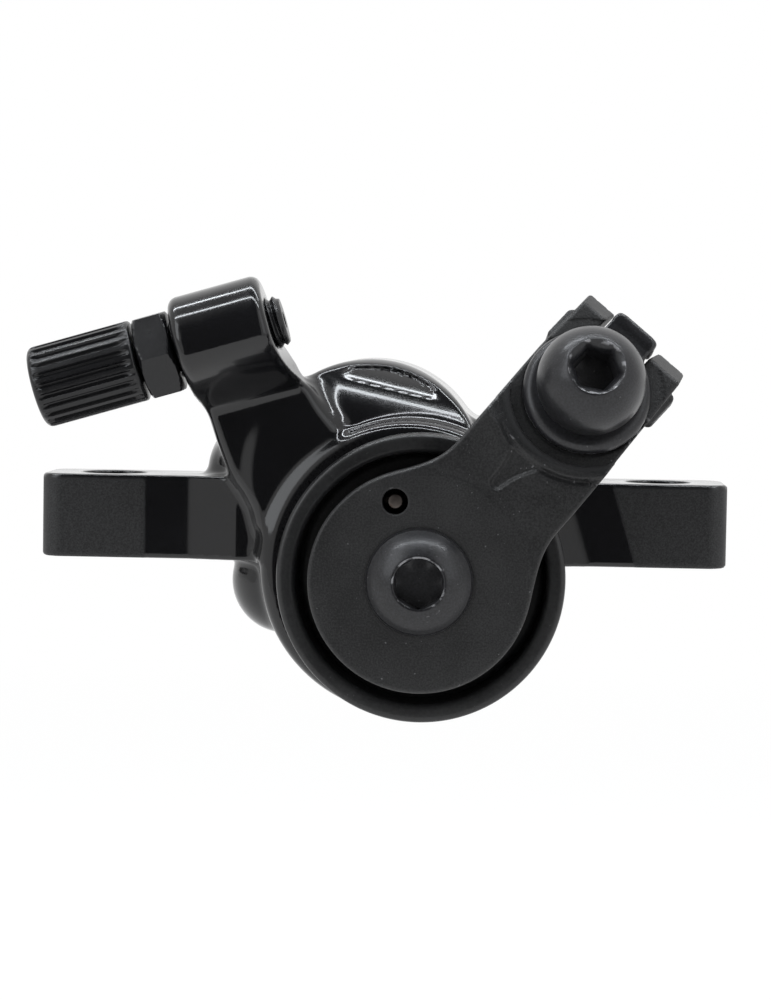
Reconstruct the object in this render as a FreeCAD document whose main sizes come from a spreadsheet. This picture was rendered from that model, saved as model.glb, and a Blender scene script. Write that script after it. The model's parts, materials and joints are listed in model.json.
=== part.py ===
import FreeCAD, Part
import math
import os
import re

import Sketcher
from FreeCAD import Placement, Rotation, Vector

# Cable-pulled disc brake caliper with two post mounts.
# Lengths are millimetres and angles are degrees. X runs along the line of the two mounting holes, +Y
# points from the arm towards the wheel, and +Z points up, away from the posts.
# The origin lies midway between the mounting holes, on the ears' underside.

sizes = {
    # mounting ears
    "mount_spacing": 74.0,
    "mount_hole_radius": 4.3,
    "ear_height": 11.2,
    "ear_depth": 14.0,
    "ear_overhang": 9.1,
    "ear_corner": 2.8,
    "ear_root": 20.0,
    # pivot of the arm, the rotor and the slot that it runs in
    "pivot_x": 5.55,
    "pivot_z": -1.1,
    "rotor_plane": 15.0,
    "rotor_thickness": 1.85,
    "rotor_radius": 80.0,
    "rotor_drop": 68.9,
    "rotor_clearance": 2.5,
    "slot_width": 5.4,
    # outboard casting
    "boss_shift_x": -2.1,
    "boss_shift_z": 0.7,
    "boss_radius": 19.6,
    "boss_front": -11.5,
    "boss_round": 2.1,
    "dome_x": -2.0,
    "dome_z": 11.8,
    "dome_radius": 15.4,
    "dome_front": -9.5,
    "dome_round": 7.0,
    "dish_slope": 12.7,
    "dish_radius": 6.0,
    "dish_x": -2.0,
    "dish_y": -11.0,
    "dish_z": 28.7,
    "groove_radius": 3.0,
    "groove_x": 1.3,
    "groove_y": -11.9,
    "groove_z": 20.9,
    "hollow_radius": 3.4,
    "hollow_x": -3.5,
    "hollow_y": -10.9,
    "hollow_z": 17.4,
    "lobe_x": -13.3,
    "lobe_z": -3.0,
    "lobe_radius": 7.3,
    "lobe_front": -5.0,
    "shoulder_x": -15.6,
    "shoulder_z": 11.6,
    "shoulder_radius": 9.0,
    "shoulder_front": -4.0,
    "edge_round": 2.5,
    "bridge_top": 19.0,
    "bridge_front": -2.0,
    # inboard casting
    "inner_radius": 18.0,
    "inner_thickness": 9.5,
    "inner_dome_radius": 14.6,
    "inner_chamfer": 1.6,
    # screws that join the castings
    "bolt_reach": 17.0,
    "bolt_z": 15.5,
    "bolt_radius": 3.0,
    "bolt_length": 20.0,
    "bolt_head_radius": 4.9,
    "bolt_head_height": 4.4,
    "bolt_socket": 5.0,
    "bolt_socket_depth": 2.6,
    "bolt_head_room": 0.4,
    "bolt_boss_radius": 6.3,
    "bolt_seat_depth": 3.2,
    # cable stop lug and its adjuster
    "lug_x": -20.6,
    "lug_z": 30.0,
    "cable_plane": -15.0,
    "neck_down": 4.0,
    "bend_down": 6.5,
    "bend_left": 6.25,
    "bend_right": 6.7,
    "bend_front": 5.9,
    "bend_back": 7.6,
    "waist_down": 12.5,
    "waist_left": 5.5,
    "waist_right": 9.4,
    "waist_front": -2.2,
    "waist_back": 12.0,
    "foot_down": 23.0,
    "foot_left": 3.2,
    "foot_right": 13.8,
    "foot_front": -7.0,
    "foot_back": 20.0,
    "cable_angle": 16.3,
    "lug_radius": 6.7,
    "lug_length": 12.5,
    "lug_chamfer": 1.2,
    "stud_radius": 3.4,
    "stud_overrun": 1.8,
    "stud_chamfer": 0.4,
    "cable_bore_radius": 1.1,
    "nut_flats": 10.3,
    "nut_thickness": 4.6,
    "nut_gap": 0.5,
    "nut_turned": 27.0,
    "nut_chamfer": 0.6,
    "nut_end_inset": 0.2,
    "nut_corner_reach": 0.9,
    "knob_radius": 5.4,
    "knob_length": 14.0,
    "knob_gap": 0.4,
    "knob_round": 1.0,
    "knob_flutes": 24,
    "flute_radius": 0.42,
    "flute_margin": 0.3,
    "housing_bore_radius": 2.6,
    "housing_bore_depth": 8.0,
    "seat_thickness": 0.8,
    "seat_ledge": 0.2,
    "knob_floor": 1.5,
    # arm
    "arm_heading": 50.0,
    "arm_front": -23.0,
    "arm_thickness": 4.4,
    "hub_radius": 14.4,
    "hub_depth": 6.8,
    "arm_left": 8.15,
    "arm_right": 8.6,
    "arm_tip_half": 7.6,
    "arm_end_slant": 2.9,
    "neck_left": 13.0,
    "neck_right": 18.0,
    "step_reach": 28.5,
    "arm_travel": 45.0,
    # cable clamp at the arm's tip
    "pinch_reach": 33.0,
    "tip_margin": 8.0,
    "pinch_side": -0.6,
    "pinch_plane": -18.9,
    "seat_tilt": 19.5,
    "seat_heading": 75.0,
    "step_radius": 10.1,
    "tilt_overlap": 0.1,
    "washer_radius": 8.0,
    "washer_thickness": 1.5,
    "tab_width": 6.9,
    "tab_reach": 9.3,
    "tab_drop": 3.2,
    "tab_clearance": 0.35,
    "pinch_ball_radius": 7.0,
    "pinch_ball_base": 3.4,
    "pinch_ball_top": 5.9,
    "pinch_socket": 5.0,
    "pinch_socket_depth": 4.2,
    "pinch_shank_radius": 2.5,
    "pinch_shank_length": 7.5,
    "lip_width": 5.5,
    "lip_height": 0.7,
    "lip_front_inset": 0.2,
    "lip_back_inset": 0.6,
    "lip_root": 2.0,
    # screw in the middle of the arm
    "arm_bolt_radius": 7.1,
    "arm_bolt_height": 3.8,
    "arm_bolt_rim": 3.6,
    "arm_bolt_socket": 6.0,
    "arm_bolt_shank_radius": 2.9,
    "arm_bolt_length": 10.0,
    "arm_bolt_floor": 0.6,
    # cover ring and return spring
    "cover_radius": 18.9,
    "cover_lip_radius": 16.4,
    "cover_floor": 1.2,
    "cover_gap": 0.4,
    "cover_round": 0.9,
    "spigot_length": 1.5,
    "spigot_wall": 0.7,
    "pocket_radius": 13.0,
    "pocket_depth": 3.5,
    "pocket_floor": 2.7,
    "hub_tube_radius": 8.2,
    "wire_radius": 1.0,
    "wire_gap": 0.3,
    "wire_bend": 2.2,
    "spring_turns": 2.25,
    "leg_angle": 107.7,
    "leg_slack": 0.65,
    "leg_end_depth": 0.8,
    "leg_foot_length": 1.0,
    "foot_hole_slack": 0.45,
    "foot_hole_depth": 2.0,
    # cam, balls and piston
    "shaft_radius": 6.0,
    "shaft_end_radius": 5.4,
    "shaft_flats": 8.0,
    "shaft_end_depth": 0.6,
    "shaft_tap_radius": 3.0,
    "shaft_tap_floor": 1.5,
    "bush_wall": 1.16,
    "bush_length": 5.0,
    "seal_section": 0.55,
    "bore_radius": 12.35,
    "cam_radius": 12.0,
    "cam_thickness": 4.5,
    "thrust_thickness": 0.75,
    "thrust_margin": 0.5,
    "washer_gap": 0.05,
    "ball_radius": 2.0,
    "ball_circle": 8.4,
    "ball_count": 3,
    "ramp_gap": 2.6,
    "ramp_overrun": 12.0,
    "cage_thickness": 1.2,
    "cage_inner": 6.2,
    "cage_outer": 10.7,
    "cage_ball_fit": 0.08,
    "piston_travel": 1.2,
    "running_fit": 0.05,
    "slide_fit": 0.15,
    "key_radius": 1.25,
    "key_fit": 0.02,
    "key_slack": 0.2,
    "key_inset": 1.2,
    "key_gap": 0.3,
    # brake pads
    "plate_radius": 12.0,
    "plate_thickness": 1.8,
    "lining_radius": 10.8,
    "lining_thickness": 3.0,
    "lining_groove": 1.2,
    "groove_depth": 1.8,
    "magnet_radius": 4.0,
    "magnet_thickness": 1.5,
    "inner_magnet_thickness": 1.0,
    "pad_clearance": 0.275,
    # inner pad adjuster
    "carrier_thickness": 2.2,
    "screw_radius": 5.4,
    "screw_neck_radius": 3.0,
    "screw_neck_length": 1.2,
    "screw_proud": 0.6,
    "screw_chamfer": 0.5,
    "screw_socket": 5.0,
    "screw_socket_depth": 3.5,
    "seal_inset": 1.6,
    "inner_bore_depth": 5.9,
}

doc = FreeCAD.newDocument("BrakeCaliper")
sheet = doc.addObject("Spreadsheet::Sheet", "Sizes")
for row, (alias, value) in enumerate(sizes.items(), 1):
    sheet.set(f"A{row}", alias)
    sheet.set(f"B{row}", str(value))
    sheet.setAlias(f"B{row}", alias)
doc.recompute()

word = re.compile(r"[a-z]+(?:_[a-z]+)+")


def size(alias):
    return float(sheet.get(alias))


def bind(thing, **formulas):
    """Ties properties to formulas of sheet values; a double underscore in a key stands for a dot."""
    for key, formula in formulas.items():
        linked = word.sub(lambda found: "Sizes." + found.group(0), formula)
        thing.setExpression(key.replace("__", "."), linked)
    return thing


along_y = Rotation(Vector(1, 0, 0), -90)
pivot = {"x": "pivot_x", "z": "pivot_z"}


def rod(name, radius, front, back, x="0", z="0"):
    """Cylinder whose axis runs along Y from front to back."""
    made = doc.addObject("Part::Cylinder", name)
    made.Placement = Placement(Vector(), along_y)
    return bind(made, Radius=radius, Height=f"({back}) - ({front})",
                Placement__Base__x=x, Placement__Base__y=front, Placement__Base__z=z)


def block(name, low, high):
    """Box between two corners, each given as three formulas."""
    made = doc.addObject("Part::Box", name)
    spans = [f"({top}) - ({bottom})" for bottom, top in zip(low, high)]
    return bind(made, Length=spans[0], Width=spans[1], Height=spans[2],
                Placement__Base__x=low[0], Placement__Base__y=low[1], Placement__Base__z=low[2])


def hexagon(name, flats, front, back, x="0", z="0", turned=0):
    """Six-sided prism along Y, measured across its flats."""
    made = doc.addObject("Part::Prism", name)
    made.Polygon = 6
    made.Placement = Placement(Vector(), along_y * Rotation(Vector(0, 0, 1), turned))
    return bind(made, Circumradius=f"({flats}) / sqrt(3)", Height=f"({back}) - ({front})",
                Placement__Base__x=x, Placement__Base__y=front, Placement__Base__z=z)


def ball_slice(name, radius, low_angle, high_angle, centre, x="0", z="0"):
    """Part of a ball between two latitudes, with its pole towards -Y."""
    made = doc.addObject("Part::Sphere", name)
    made.Placement = Placement(Vector(), Rotation(Vector(1, 0, 0), 90))
    return bind(made, Radius=radius, Angle1=low_angle, Angle2=high_angle,
                Placement__Base__x=x, Placement__Base__y=centre, Placement__Base__z=z)


def turned(name, corners, frame=None):
    """Body of revolution about Y: a closed outline of (radius, y) formulas."""
    body = doc.addObject("PartDesign::Body", name)
    sketch = body.newObject("Sketcher::SketchObject", name + "_outline")
    plane = next(f for f in body.Origin.OriginFeatures if f.Role == "XY_Plane")
    sketch.AttachmentSupport = [(plane, "")]
    sketch.MapMode = "FlatFace"
    count = len(corners)
    spots = [Vector(9 * math.cos(6.28 * n / count), 9 * math.sin(6.28 * n / count), 0) for n in range(count)]
    for n in range(count):
        sketch.addGeometry(Part.LineSegment(spots[n], spots[(n + 1) % count]))
    for n, corner in enumerate(corners):
        sketch.addConstraint(Sketcher.Constraint("Coincident", n, 2, (n + 1) % count, 1))
        for kind, formula in zip(("DistanceX", "DistanceY"), corner):
            place = sketch.addConstraint(Sketcher.Constraint(kind, -1, 1, n, 1, 1.0))
            bind(sketch, **{f"Constraints[{place}]": formula})
    spin = body.newObject("PartDesign::Revolution", name + "_spin")
    spin.Profile = sketch
    spin.ReferenceAxis = (sketch, ["V_Axis"])
    spin.Angle = 360
    body.Tip = spin
    if frame is None:
        bind(body, Placement__Base__x="pivot_x", Placement__Base__z="pivot_z")
    else:
        body.Placement = frame
    return body


def fused(name, *parts):
    made = doc.addObject("Part::MultiFuse", name)
    made.Shapes = list(parts)
    made.Refine = True
    return made


def cut(name, base, *tools):
    made = doc.addObject("Part::Cut", name)
    made.Base = base
    made.Tool = tools[0] if len(tools) == 1 else fused(name + "_cutters", *tools)
    return made


def cut_in_turn(name, base, tools):
    """Cuts one tool after another, for tools that are too alike to be fused first."""
    for n, tool in enumerate(tools[:-1]):
        base = cut(f"{name}_step_{n}", base, tool)
    return cut(name, base, tools[-1])


def grouped(name, parts):
    made = doc.addObject("Part::Compound", name)
    made.Links = parts
    return made


def common(name, base, tool):
    made = doc.addObject("Part::Common", name)
    made.Base = base
    made.Tool = tool
    return made


def moved(name, frame, *parts):
    """Parts made in a frame of their own, set in their place."""
    made = grouped(name, list(parts))
    made.Placement = frame
    return made


def solid(name, shape):
    made = doc.addObject("Part::Feature", name)
    made.Shape = shape
    return made


def rounded(name, base, radius, chosen):
    """Fillet of the edges of base that chosen accepts."""
    doc.recompute()
    made = doc.addObject("Part::Fillet", name)
    made.Base = base
    made.Edges = [(n, radius, radius) for n, edge in enumerate(base.Shape.Edges, 1) if chosen(edge)]
    return made


# Frames: the cable's line through the lug, the arm, and the tilted seat of the cable clamp

cable_turn = math.radians(size("cable_angle"))
cable_run = Vector(math.cos(cable_turn), 0, math.sin(cable_turn))
cable_frame = Placement(Vector(size("lug_x"), size("cable_plane"), size("lug_z")),
                        Rotation(Vector(0, 1, 0), cable_run))
toward_front = Vector(0, -1, 0)
lug_turn = Rotation(toward_front, cable_run, toward_front.cross(cable_run), "XYZ")

pivot_point = Vector(size("pivot_x"), 0, size("pivot_z"))
arm_frame = Placement(pivot_point, Rotation(Vector(0, 1, 0), -size("arm_heading")))

tilt = math.radians(size("seat_tilt"))
heading = math.radians(size("seat_heading"))
inward = Vector(-math.sin(tilt) * math.cos(heading), math.cos(tilt), -math.sin(tilt) * math.sin(heading))
arm_run = arm_frame.Rotation.multVec(Vector(1, 0, 0))
seat_run = (arm_run - inward * arm_run.dot(inward)).normalize()
seat_point = arm_frame.multVec(Vector(size("pinch_reach"), size("pinch_plane"), size("pinch_side")))
seat_frame = Placement(seat_point, Rotation(seat_run, inward, seat_run.cross(inward), "YXZ"))

bore_wall = "(boss_front + pocket_depth + pocket_floor)"
cover_front = "(arm_front + arm_thickness + cover_gap)"
cam_face = f"({bore_wall} + thrust_thickness + washer_gap + cam_thickness)"
piston_face = f"({cam_face} + ramp_gap)"
piston_back = "(rotor_plane - rotor_thickness / 2 - pad_clearance - lining_thickness - plate_thickness)"
slot_front = "rotor_plane - slot_width / 2"
slot_back = "rotor_plane + slot_width / 2"
inner_back = f"{slot_back} + inner_thickness"
bolt_seat = f"{inner_back} - bolt_seat_depth"
bolt_tip = f"{bolt_seat} - bolt_length"
left_bolt = "pivot_x - bolt_reach"
right_bolt = "pivot_x + bolt_reach"


# Outboard casting: ears, boss, bridge over the rotor and the lug of the cable stop


def ear(side, name):
    """Mounting ear with its outer corners rounded in plan; side is -1 on the left."""
    edge = "(mount_spacing / 2 + ear_overhang)"
    root = "(mount_spacing / 2 - ear_root)"
    low, high = (edge, root) if side < 0 else (root, edge)
    sign = "-" if side < 0 else ""
    slab = block(name + "_slab", (sign + low, "-ear_depth / 2", "0"),
                 (sign + high, "ear_depth / 2", "ear_height"))
    end = size("mount_spacing") / 2 + size("ear_overhang")

    def at_end(edge):
        box = edge.BoundBox
        return abs(box.XMin - side * end) < 0.01 and box.XLength < 0.01 and box.ZLength > 1

    return rounded(name, slab, size("ear_corner"), at_end)


def lug_and_stem():
    """Plate square to the cable: round over the cable, then bent back and spread out down to the boss."""
    radius, half = size("lug_radius"), size("lug_length") / 2
    rows = [(size(f"{row}_down"), size(f"{row}_left"), size(f"{row}_right"), size(f"{row}_front"),
             size(f"{row}_back")) for row in ("bend", "waist", "foot")]
    rows.insert(0, (size("neck_down"), half, half, radius, radius))
    front = [Vector(row[3], 0, -row[0]) for row in rows]
    back = [Vector(-row[4], 0, -row[0]) for row in rows[::-1]]
    corners = [Vector(radius, 0, 0)] + front + back + [Vector(-radius, 0, 0)]
    side = Part.Face(Part.makePolygon(corners + corners[:1]))
    reach = size("dome_radius") + half
    sideways = side.extrude(Vector(0, 2 * reach, 0))
    sideways.translate(Vector(0, -reach, 0))
    right = [Vector(0, row[2], -row[0]) for row in rows]
    left = [Vector(0, -row[1], -row[0]) for row in rows[::-1]]
    corners = [Vector(0, -half, radius + 1), Vector(0, half, radius + 1)] + right + left
    plan = Part.Face(Part.makePolygon(corners + corners[:1])).extrude(Vector(2 * reach, 0, 0))
    plan.translate(Vector(-size("foot_back") - 1, 0, 0))
    plate = common("lug_plate", solid("lug_side", sideways), solid("lug_plan", plan))
    over = rod("lug_over", "lug_radius", "-lug_length / 2", "lug_length / 2")
    doc.recompute()
    made = doc.addObject("Part::Chamfer", "lug_chamfered")
    made.Base = over
    chamfer = size("lug_chamfer")
    made.Edges = [(n, chamfer, chamfer) for n, edge in enumerate(over.Shape.Edges, 1)
                  if edge.BoundBox.YLength < 0.01]
    return moved("lug", Placement(cable_frame.Base, lug_turn), fused("lug_whole", made, plate))


def dished(base):
    """Two long dishes and a round hollow in the dome's front rim."""
    slope = math.radians(size("dish_slope"))
    turn = Rotation(Vector(0, 1, 0), Vector(math.cos(slope), 0, -math.sin(slope)))
    tools = []
    for name in ("dish", "groove"):
        place = Placement(Vector(size(f"{name}_x"), size(f"{name}_y"), size(f"{name}_z")), turn)
        tools.append(moved(name, place, rod(name + "_drill", name + "_radius", "-dome_radius", "dome_radius")))
    hollow = doc.addObject("Part::Sphere", "hollow")
    tools.append(bind(hollow, Radius="hollow_radius", Placement__Base__x="hollow_x",
                      Placement__Base__y="hollow_y", Placement__Base__z="hollow_z"))
    return cut_in_turn("dome_dished", base, tools)


def front_rounded(name, base, radius):
    """Fillet of the front rim of a rod."""
    front = base.Placement.Base.y

    def at_front(edge):
        return abs(edge.BoundBox.YMin - front) < 0.01 and edge.BoundBox.YLength < 0.01

    return rounded(name, base, radius, at_front)


def caliper_body():
    boss_x = "pivot_x + boss_shift_x"
    boss_z = "pivot_z + boss_shift_z"
    rods = {
        "boss": ("boss_radius", "boss_front", slot_front, boss_x, boss_z),
        "dome": ("dome_radius", "dome_front", slot_back, "dome_x", "dome_z"),
        "lobe": ("lobe_radius", "lobe_front", slot_front, "lobe_x", "lobe_z"),
        "shoulder": ("shoulder_radius", "shoulder_front", slot_front, "shoulder_x", "shoulder_z"),
        "right_bolt_boss": ("bolt_boss_radius", "bridge_front", slot_back, right_bolt, "bolt_z"),
        "left_bolt_boss": ("bolt_boss_radius", "bridge_front", slot_back, left_bolt, "bolt_z"),
    }
    lumps = {name: rod(name, *spans) for name, spans in rods.items()}
    doc.recompute()
    shaped = [front_rounded("boss_rounded", lumps["boss"], size("boss_round")),
              dished(front_rounded("dome_rounded", lumps["dome"], size("dome_round"))),
              front_rounded("lobe_rounded", lumps["lobe"], size("edge_round")),
              front_rounded("shoulder_rounded", lumps["shoulder"], size("edge_round")),
              front_rounded("right_boss_rounded", lumps["right_bolt_boss"], size("edge_round")),
              lumps["left_bolt_boss"]]
    bridge = block("bridge", ("dome_x", "bridge_front", "0"), (right_bolt, slot_back, "bridge_top"))
    casting = fused("casting", *shaped, bridge, ear(-1, "left_ear"), ear(1, "right_ear"), lug_and_stem())

    bolt_holes = [rod(name, "bolt_radius + running_fit", f"{bolt_tip} - 1", inner_back, x, "bolt_z")
                  for name, x in (("left_bolt_hole", left_bolt), ("right_bolt_hole", right_bolt))]
    span = "mount_spacing / 2"
    tools = []
    for side, name in (("-", "left"), ("", "right")):
        hole = doc.addObject("Part::Cylinder", name + "_mount_hole")
        tools.append(bind(hole, Radius="mount_hole_radius", Height="ear_height + 2",
                          Placement__Base__x=side + span, Placement__Base__z="-1"))
    tools += [
        rod("cover_room", "cover_radius + cover_gap", "arm_front", "boss_front", **pivot),
        rod("rotor_room", "rotor_radius + rotor_clearance", slot_front, slot_back + " + 1",
            "pivot_x", "pivot_z - rotor_drop"),
        rod("piston_bore", "bore_radius", bore_wall, slot_back, **pivot),
        rod("bush_bore", "shaft_radius + running_fit + bush_wall", "boss_front - 9", "0", **pivot),
        cut("spring_pocket",
            rod("pocket_outer", "pocket_radius", "boss_front - 9", "boss_front + pocket_depth", **pivot),
            rod("pocket_inner", "hub_tube_radius", "boss_front", "boss_front + pocket_depth + 1", **pivot)),
        moved("stud_hole", cable_frame,
              rod("stud_drill", "stud_radius + running_fit", "-lug_length", "lug_length")),
        *bolt_holes,
        spring_leg_hole(),
    ]
    tools += keyways("body_keyway", "key_radius + key_fit", cam_face, slot_back)
    return cut("caliper_body", casting, *tools)


def keyways(name, radius, front, back):
    """Two grooves or pins left and right of the pivot, centred on the bore's wall."""
    return [rod(f"{name}_{side}", radius, front, back, f"pivot_x {sign} bore_radius", "pivot_z")
            for side, sign in (("left", "-"), ("right", "+"))]


# Inboard casting and the screws that hold it


def inner_body():
    rods = {
        "inner_disc": ("inner_radius", "pivot_x", "pivot_z"),
        "inner_dome": ("inner_dome_radius", "dome_x", "dome_z"),
        "inner_left_boss": ("bolt_boss_radius", left_bolt, "bolt_z"),
        "inner_right_boss": ("bolt_boss_radius", right_bolt, "bolt_z"),
    }
    lumps = [rod(name, radius, slot_back, inner_back, x, z) for name, (radius, x, z) in rods.items()]
    bridge = block("inner_bridge", ("dome_x", slot_back, "pivot_z"), (right_bolt, inner_back, "bridge_top"))
    lumps.append(bridge)
    blank = fused("inner_blank", *lumps)
    doc.recompute()
    back = blank.Shape.BoundBox.YMax
    edges = doc.addObject("Part::Chamfer", "inner_chamfered")
    edges.Base = blank
    reach = size("inner_chamfer")
    edges.Edges = [(n, reach, reach) for n, edge in enumerate(blank.Shape.Edges, 1)
                   if edge.BoundBox.YMin > back - 0.01]
    carrier_room = f"{slot_back} + inner_bore_depth"
    tools = [rod("inner_bore", "bore_radius", f"{slot_back} - 1", carrier_room, **pivot),
             rod("screw_hole", "screw_radius + running_fit", slot_back, f"{inner_back} + 1", **pivot)]
    for name, x in (("left", left_bolt), ("right", right_bolt)):
        tools.append(rod(name + "_clearance_hole", "bolt_radius + slide_fit", f"{slot_back} - 1", inner_back,
                         x, "bolt_z"))
        tools.append(rod(name + "_counterbore", "bolt_head_radius + bolt_head_room", bolt_seat,
                         f"{inner_back} + 1", x, "bolt_z"))
    tools += keyways("inner_keyway", "key_radius + key_fit", f"{slot_back} - 1", carrier_room)
    groove = doc.addObject("Part::Torus", "adjuster_seal_groove")
    groove.Placement = Placement(Vector(), along_y)
    bind(groove, Radius1="screw_radius + seal_section", Radius2="seal_section + running_fit",
         Placement__Base__x="pivot_x", Placement__Base__y=f"{inner_back} - seal_inset",
         Placement__Base__z="pivot_z")
    return cut("inner_body", edges, *tools, groove)


def body_bolts():
    made = []
    for name, x in (("left", left_bolt), ("right", right_bolt)):
        head_end = f"{bolt_seat} + bolt_head_height"
        shape = fused(name + "_bolt_blank",
                      rod(name + "_shank", "bolt_radius", bolt_tip, bolt_seat, x, "bolt_z"),
                      rod(name + "_head", "bolt_head_radius", bolt_seat, head_end, x, "bolt_z"))
        made.append(cut(name + "_bolt", shape,
                        hexagon(name + "_bolt_socket", "bolt_socket", f"{head_end} - bolt_socket_depth",
                                f"{head_end} + 1", x, "bolt_z")))
    return grouped("body_bolts", made)


# Cover ring and return spring


def spring_cover():
    """Ring with a tall outer wall, a thin floor and a spigot that centres it in the spring's pocket."""
    outer, lip, floor = "cover_radius", "cover_lip_radius", "boss_front - cover_floor"
    spigot, back = "pocket_radius - running_fit", "boss_front + spigot_length"
    inside = "pocket_radius - running_fit - spigot_wall"
    return turned("spring_cover", [
        (inside, floor), (lip, floor), (lip, f"{cover_front} + cover_round / 2"),
        (f"{lip} + cover_round / 2", cover_front), (f"{outer} - cover_round", cover_front),
        (outer, f"{cover_front} + cover_round"), (outer, "boss_front"),
        (spigot, "boss_front"), (spigot, back), (inside, back)])


def arc_to(start, corner, end):
    """Arc from start to end whose tangents meet in corner."""
    middle = (start + end) * 0.5
    half = (end - start).Length / 2
    quarter = math.acos(min(1, half / (corner - start).Length)) / 2
    return Part.Arc(start, middle + (corner - middle).normalize() * half * math.tan(quarter), end).toShape()


def biarc(start, start_way, end, end_way):
    """Two arcs that leave start along one direction and reach end along another."""
    chord = end - start
    lean = chord.dot(start_way + end_way)
    bend = 1 - start_way.dot(end_way)
    reach = (math.sqrt(lean ** 2 + 2 * bend * chord.dot(chord)) - lean) / (2 * bend)
    first, second = start + start_way * reach, end - end_way * reach
    middle = (first + second) * 0.5
    return [arc_to(start, first, middle), arc_to(middle, second, end)]


def winding(radius, angles, heights):
    """Points of a helix round the pivot and its directions there, both in equal steps."""
    points, ways = [], []
    rise = (heights[-1] - heights[0]) / abs(math.radians(angles[-1] - angles[0]))
    turn = math.copysign(1, angles[-1] - angles[0])
    for angle, height in zip(angles, heights):
        a = math.radians(angle)
        points.append(pivot_point + Vector(radius * math.cos(a), height, radius * math.sin(a)))
        ways.append(Vector(-turn * radius * math.sin(a), rise, turn * radius * math.cos(a)).normalize())
    return points, ways


def spread(first, last, steps):
    return [first + (last - first) * step / steps for step in range(steps + 1)]


def tube(path, radius):
    """Round tube along joined edges, as one unbroken pipe."""
    wire = Part.Wire(path)
    start = wire.Edges[0].valueAt(wire.Edges[0].FirstParameter)
    way = wire.Edges[0].tangentAt(wire.Edges[0].FirstParameter)
    ring = Part.Wire(Part.makeCircle(radius, start, way))
    return wire.makePipeShell([ring], True, False)


def spring_layout():
    """The coil's points and directions, and the two legs' places in plan."""
    bend = size("wire_bend")
    mean = (size("pocket_radius") + size("hub_tube_radius")) / 2
    first = size("leg_angle") - math.degrees(math.atan2(bend, mean))
    last = first - 360 * size("spring_turns")
    rest = size("wire_radius") + size("wire_gap")
    front = size("arm_front") + size("hub_depth") + rest
    back = size("boss_front") + size("pocket_depth") - rest
    steps = round(4 * size("spring_turns"))
    points, ways = winding(mean, spread(first, last, steps), spread(front, back, steps))
    legs = []
    for point, angle, side in ((points[0], first, 1), (points[-1], last, -1)):
        a = math.radians(angle)
        legs.append(point + Vector(-math.sin(a), 0, math.cos(a)) * bend * side)
    return points, ways, legs


def return_spring():
    points, ways, (front_leg, back_leg) = spring_layout()
    bend = size("wire_bend")
    straight = Vector(0, 1, 0)
    front_bend = front_leg - straight * bend
    back_bend = back_leg + straight * bend
    leg_end = Vector(front_leg.x, size("arm_front") + size("leg_end_depth"), front_leg.z)
    leg_foot = back_bend + straight * size("leg_foot_length")
    path = [Part.LineSegment(leg_end, front_bend).toShape()]
    path += biarc(front_bend, straight, points[0], ways[0])
    for n in range(len(points) - 1):
        path += biarc(points[n], ways[n], points[n + 1], ways[n + 1])
    path += biarc(points[-1], ways[-1], back_bend, straight)
    path.append(Part.LineSegment(back_bend, leg_foot).toShape())

    beads_per_edge, nearest_turn = 16, 60
    beads = [point for edge in path for point in edge.discretize(beads_per_edge)]
    gap = min((beads[a] - beads[b]).Length
              for a in range(nearest_turn, len(beads)) for b in range(a - nearest_turn))
    gap -= 2 * size("wire_radius")
    print(f"return_spring: least gap to itself {gap:.2f} mm")
    return solid("return_spring", tube(path, size("wire_radius")))


def spring_leg_hole():
    """Hole in the pocket's floor for the spring's back leg."""
    back_leg = spring_layout()[2][1]
    drill = doc.addObject("Part::Cylinder", "spring_leg_hole")
    floor = size("boss_front") + size("pocket_depth")
    drill.Placement = Placement(Vector(back_leg.x, floor - 1, back_leg.z), along_y)
    return bind(drill, Radius="wire_radius + foot_hole_slack", Height="foot_hole_depth + 1")


# Arm with its screw, and the cable clamp at its tip


def arm_outline():
    """Prism of the arm's plan: a hub disc that two hollow curves lead into the long plate."""
    hub = size("hub_radius")
    end = size("pinch_reach") + size("tip_margin") + size("arm_end_slant")
    left, right, tip = size("arm_left"), size("arm_right"), size("arm_tip_half")

    def neck(half, hollow, side):
        """Start, middle and end of the hollow curve on one side, as (along, across)."""
        along = math.sqrt((hub + hollow) ** 2 - (half + hollow) ** 2)
        centre = Vector(along, 0, side * (half + hollow))
        start = centre * (hub / (hub + hollow))
        finish = Vector(along, 0, side * half)
        middle = centre + ((start + finish) * 0.5 - centre).normalize() * hollow
        return start, middle, finish

    up, down = neck(left, size("neck_left"), 1), neck(right, size("neck_right"), -1)
    corners = [up[2], Vector(size("pinch_reach"), 0, left), Vector(end, 0, tip),
               Vector(end, 0, -tip), Vector(size("pinch_reach"), 0, -left), down[2]]
    edges = [Part.LineSegment(a, b).toShape() for a, b in zip(corners, corners[1:])]
    edges += [Part.Arc(*down[::-1]).toShape(), Part.Arc(down[0], Vector(-hub, 0, 0), up[0]).toShape(),
              Part.Arc(*up).toShape()]
    face = Part.Face(Part.Wire(Part.sortEdges(edges)[0]))
    reach = 3 * hub
    prism = face.extrude(Vector(0, reach, 0))
    prism.translate(Vector(0, size("arm_front") - reach / 2, 0))
    return solid("arm_outline", prism)


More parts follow.
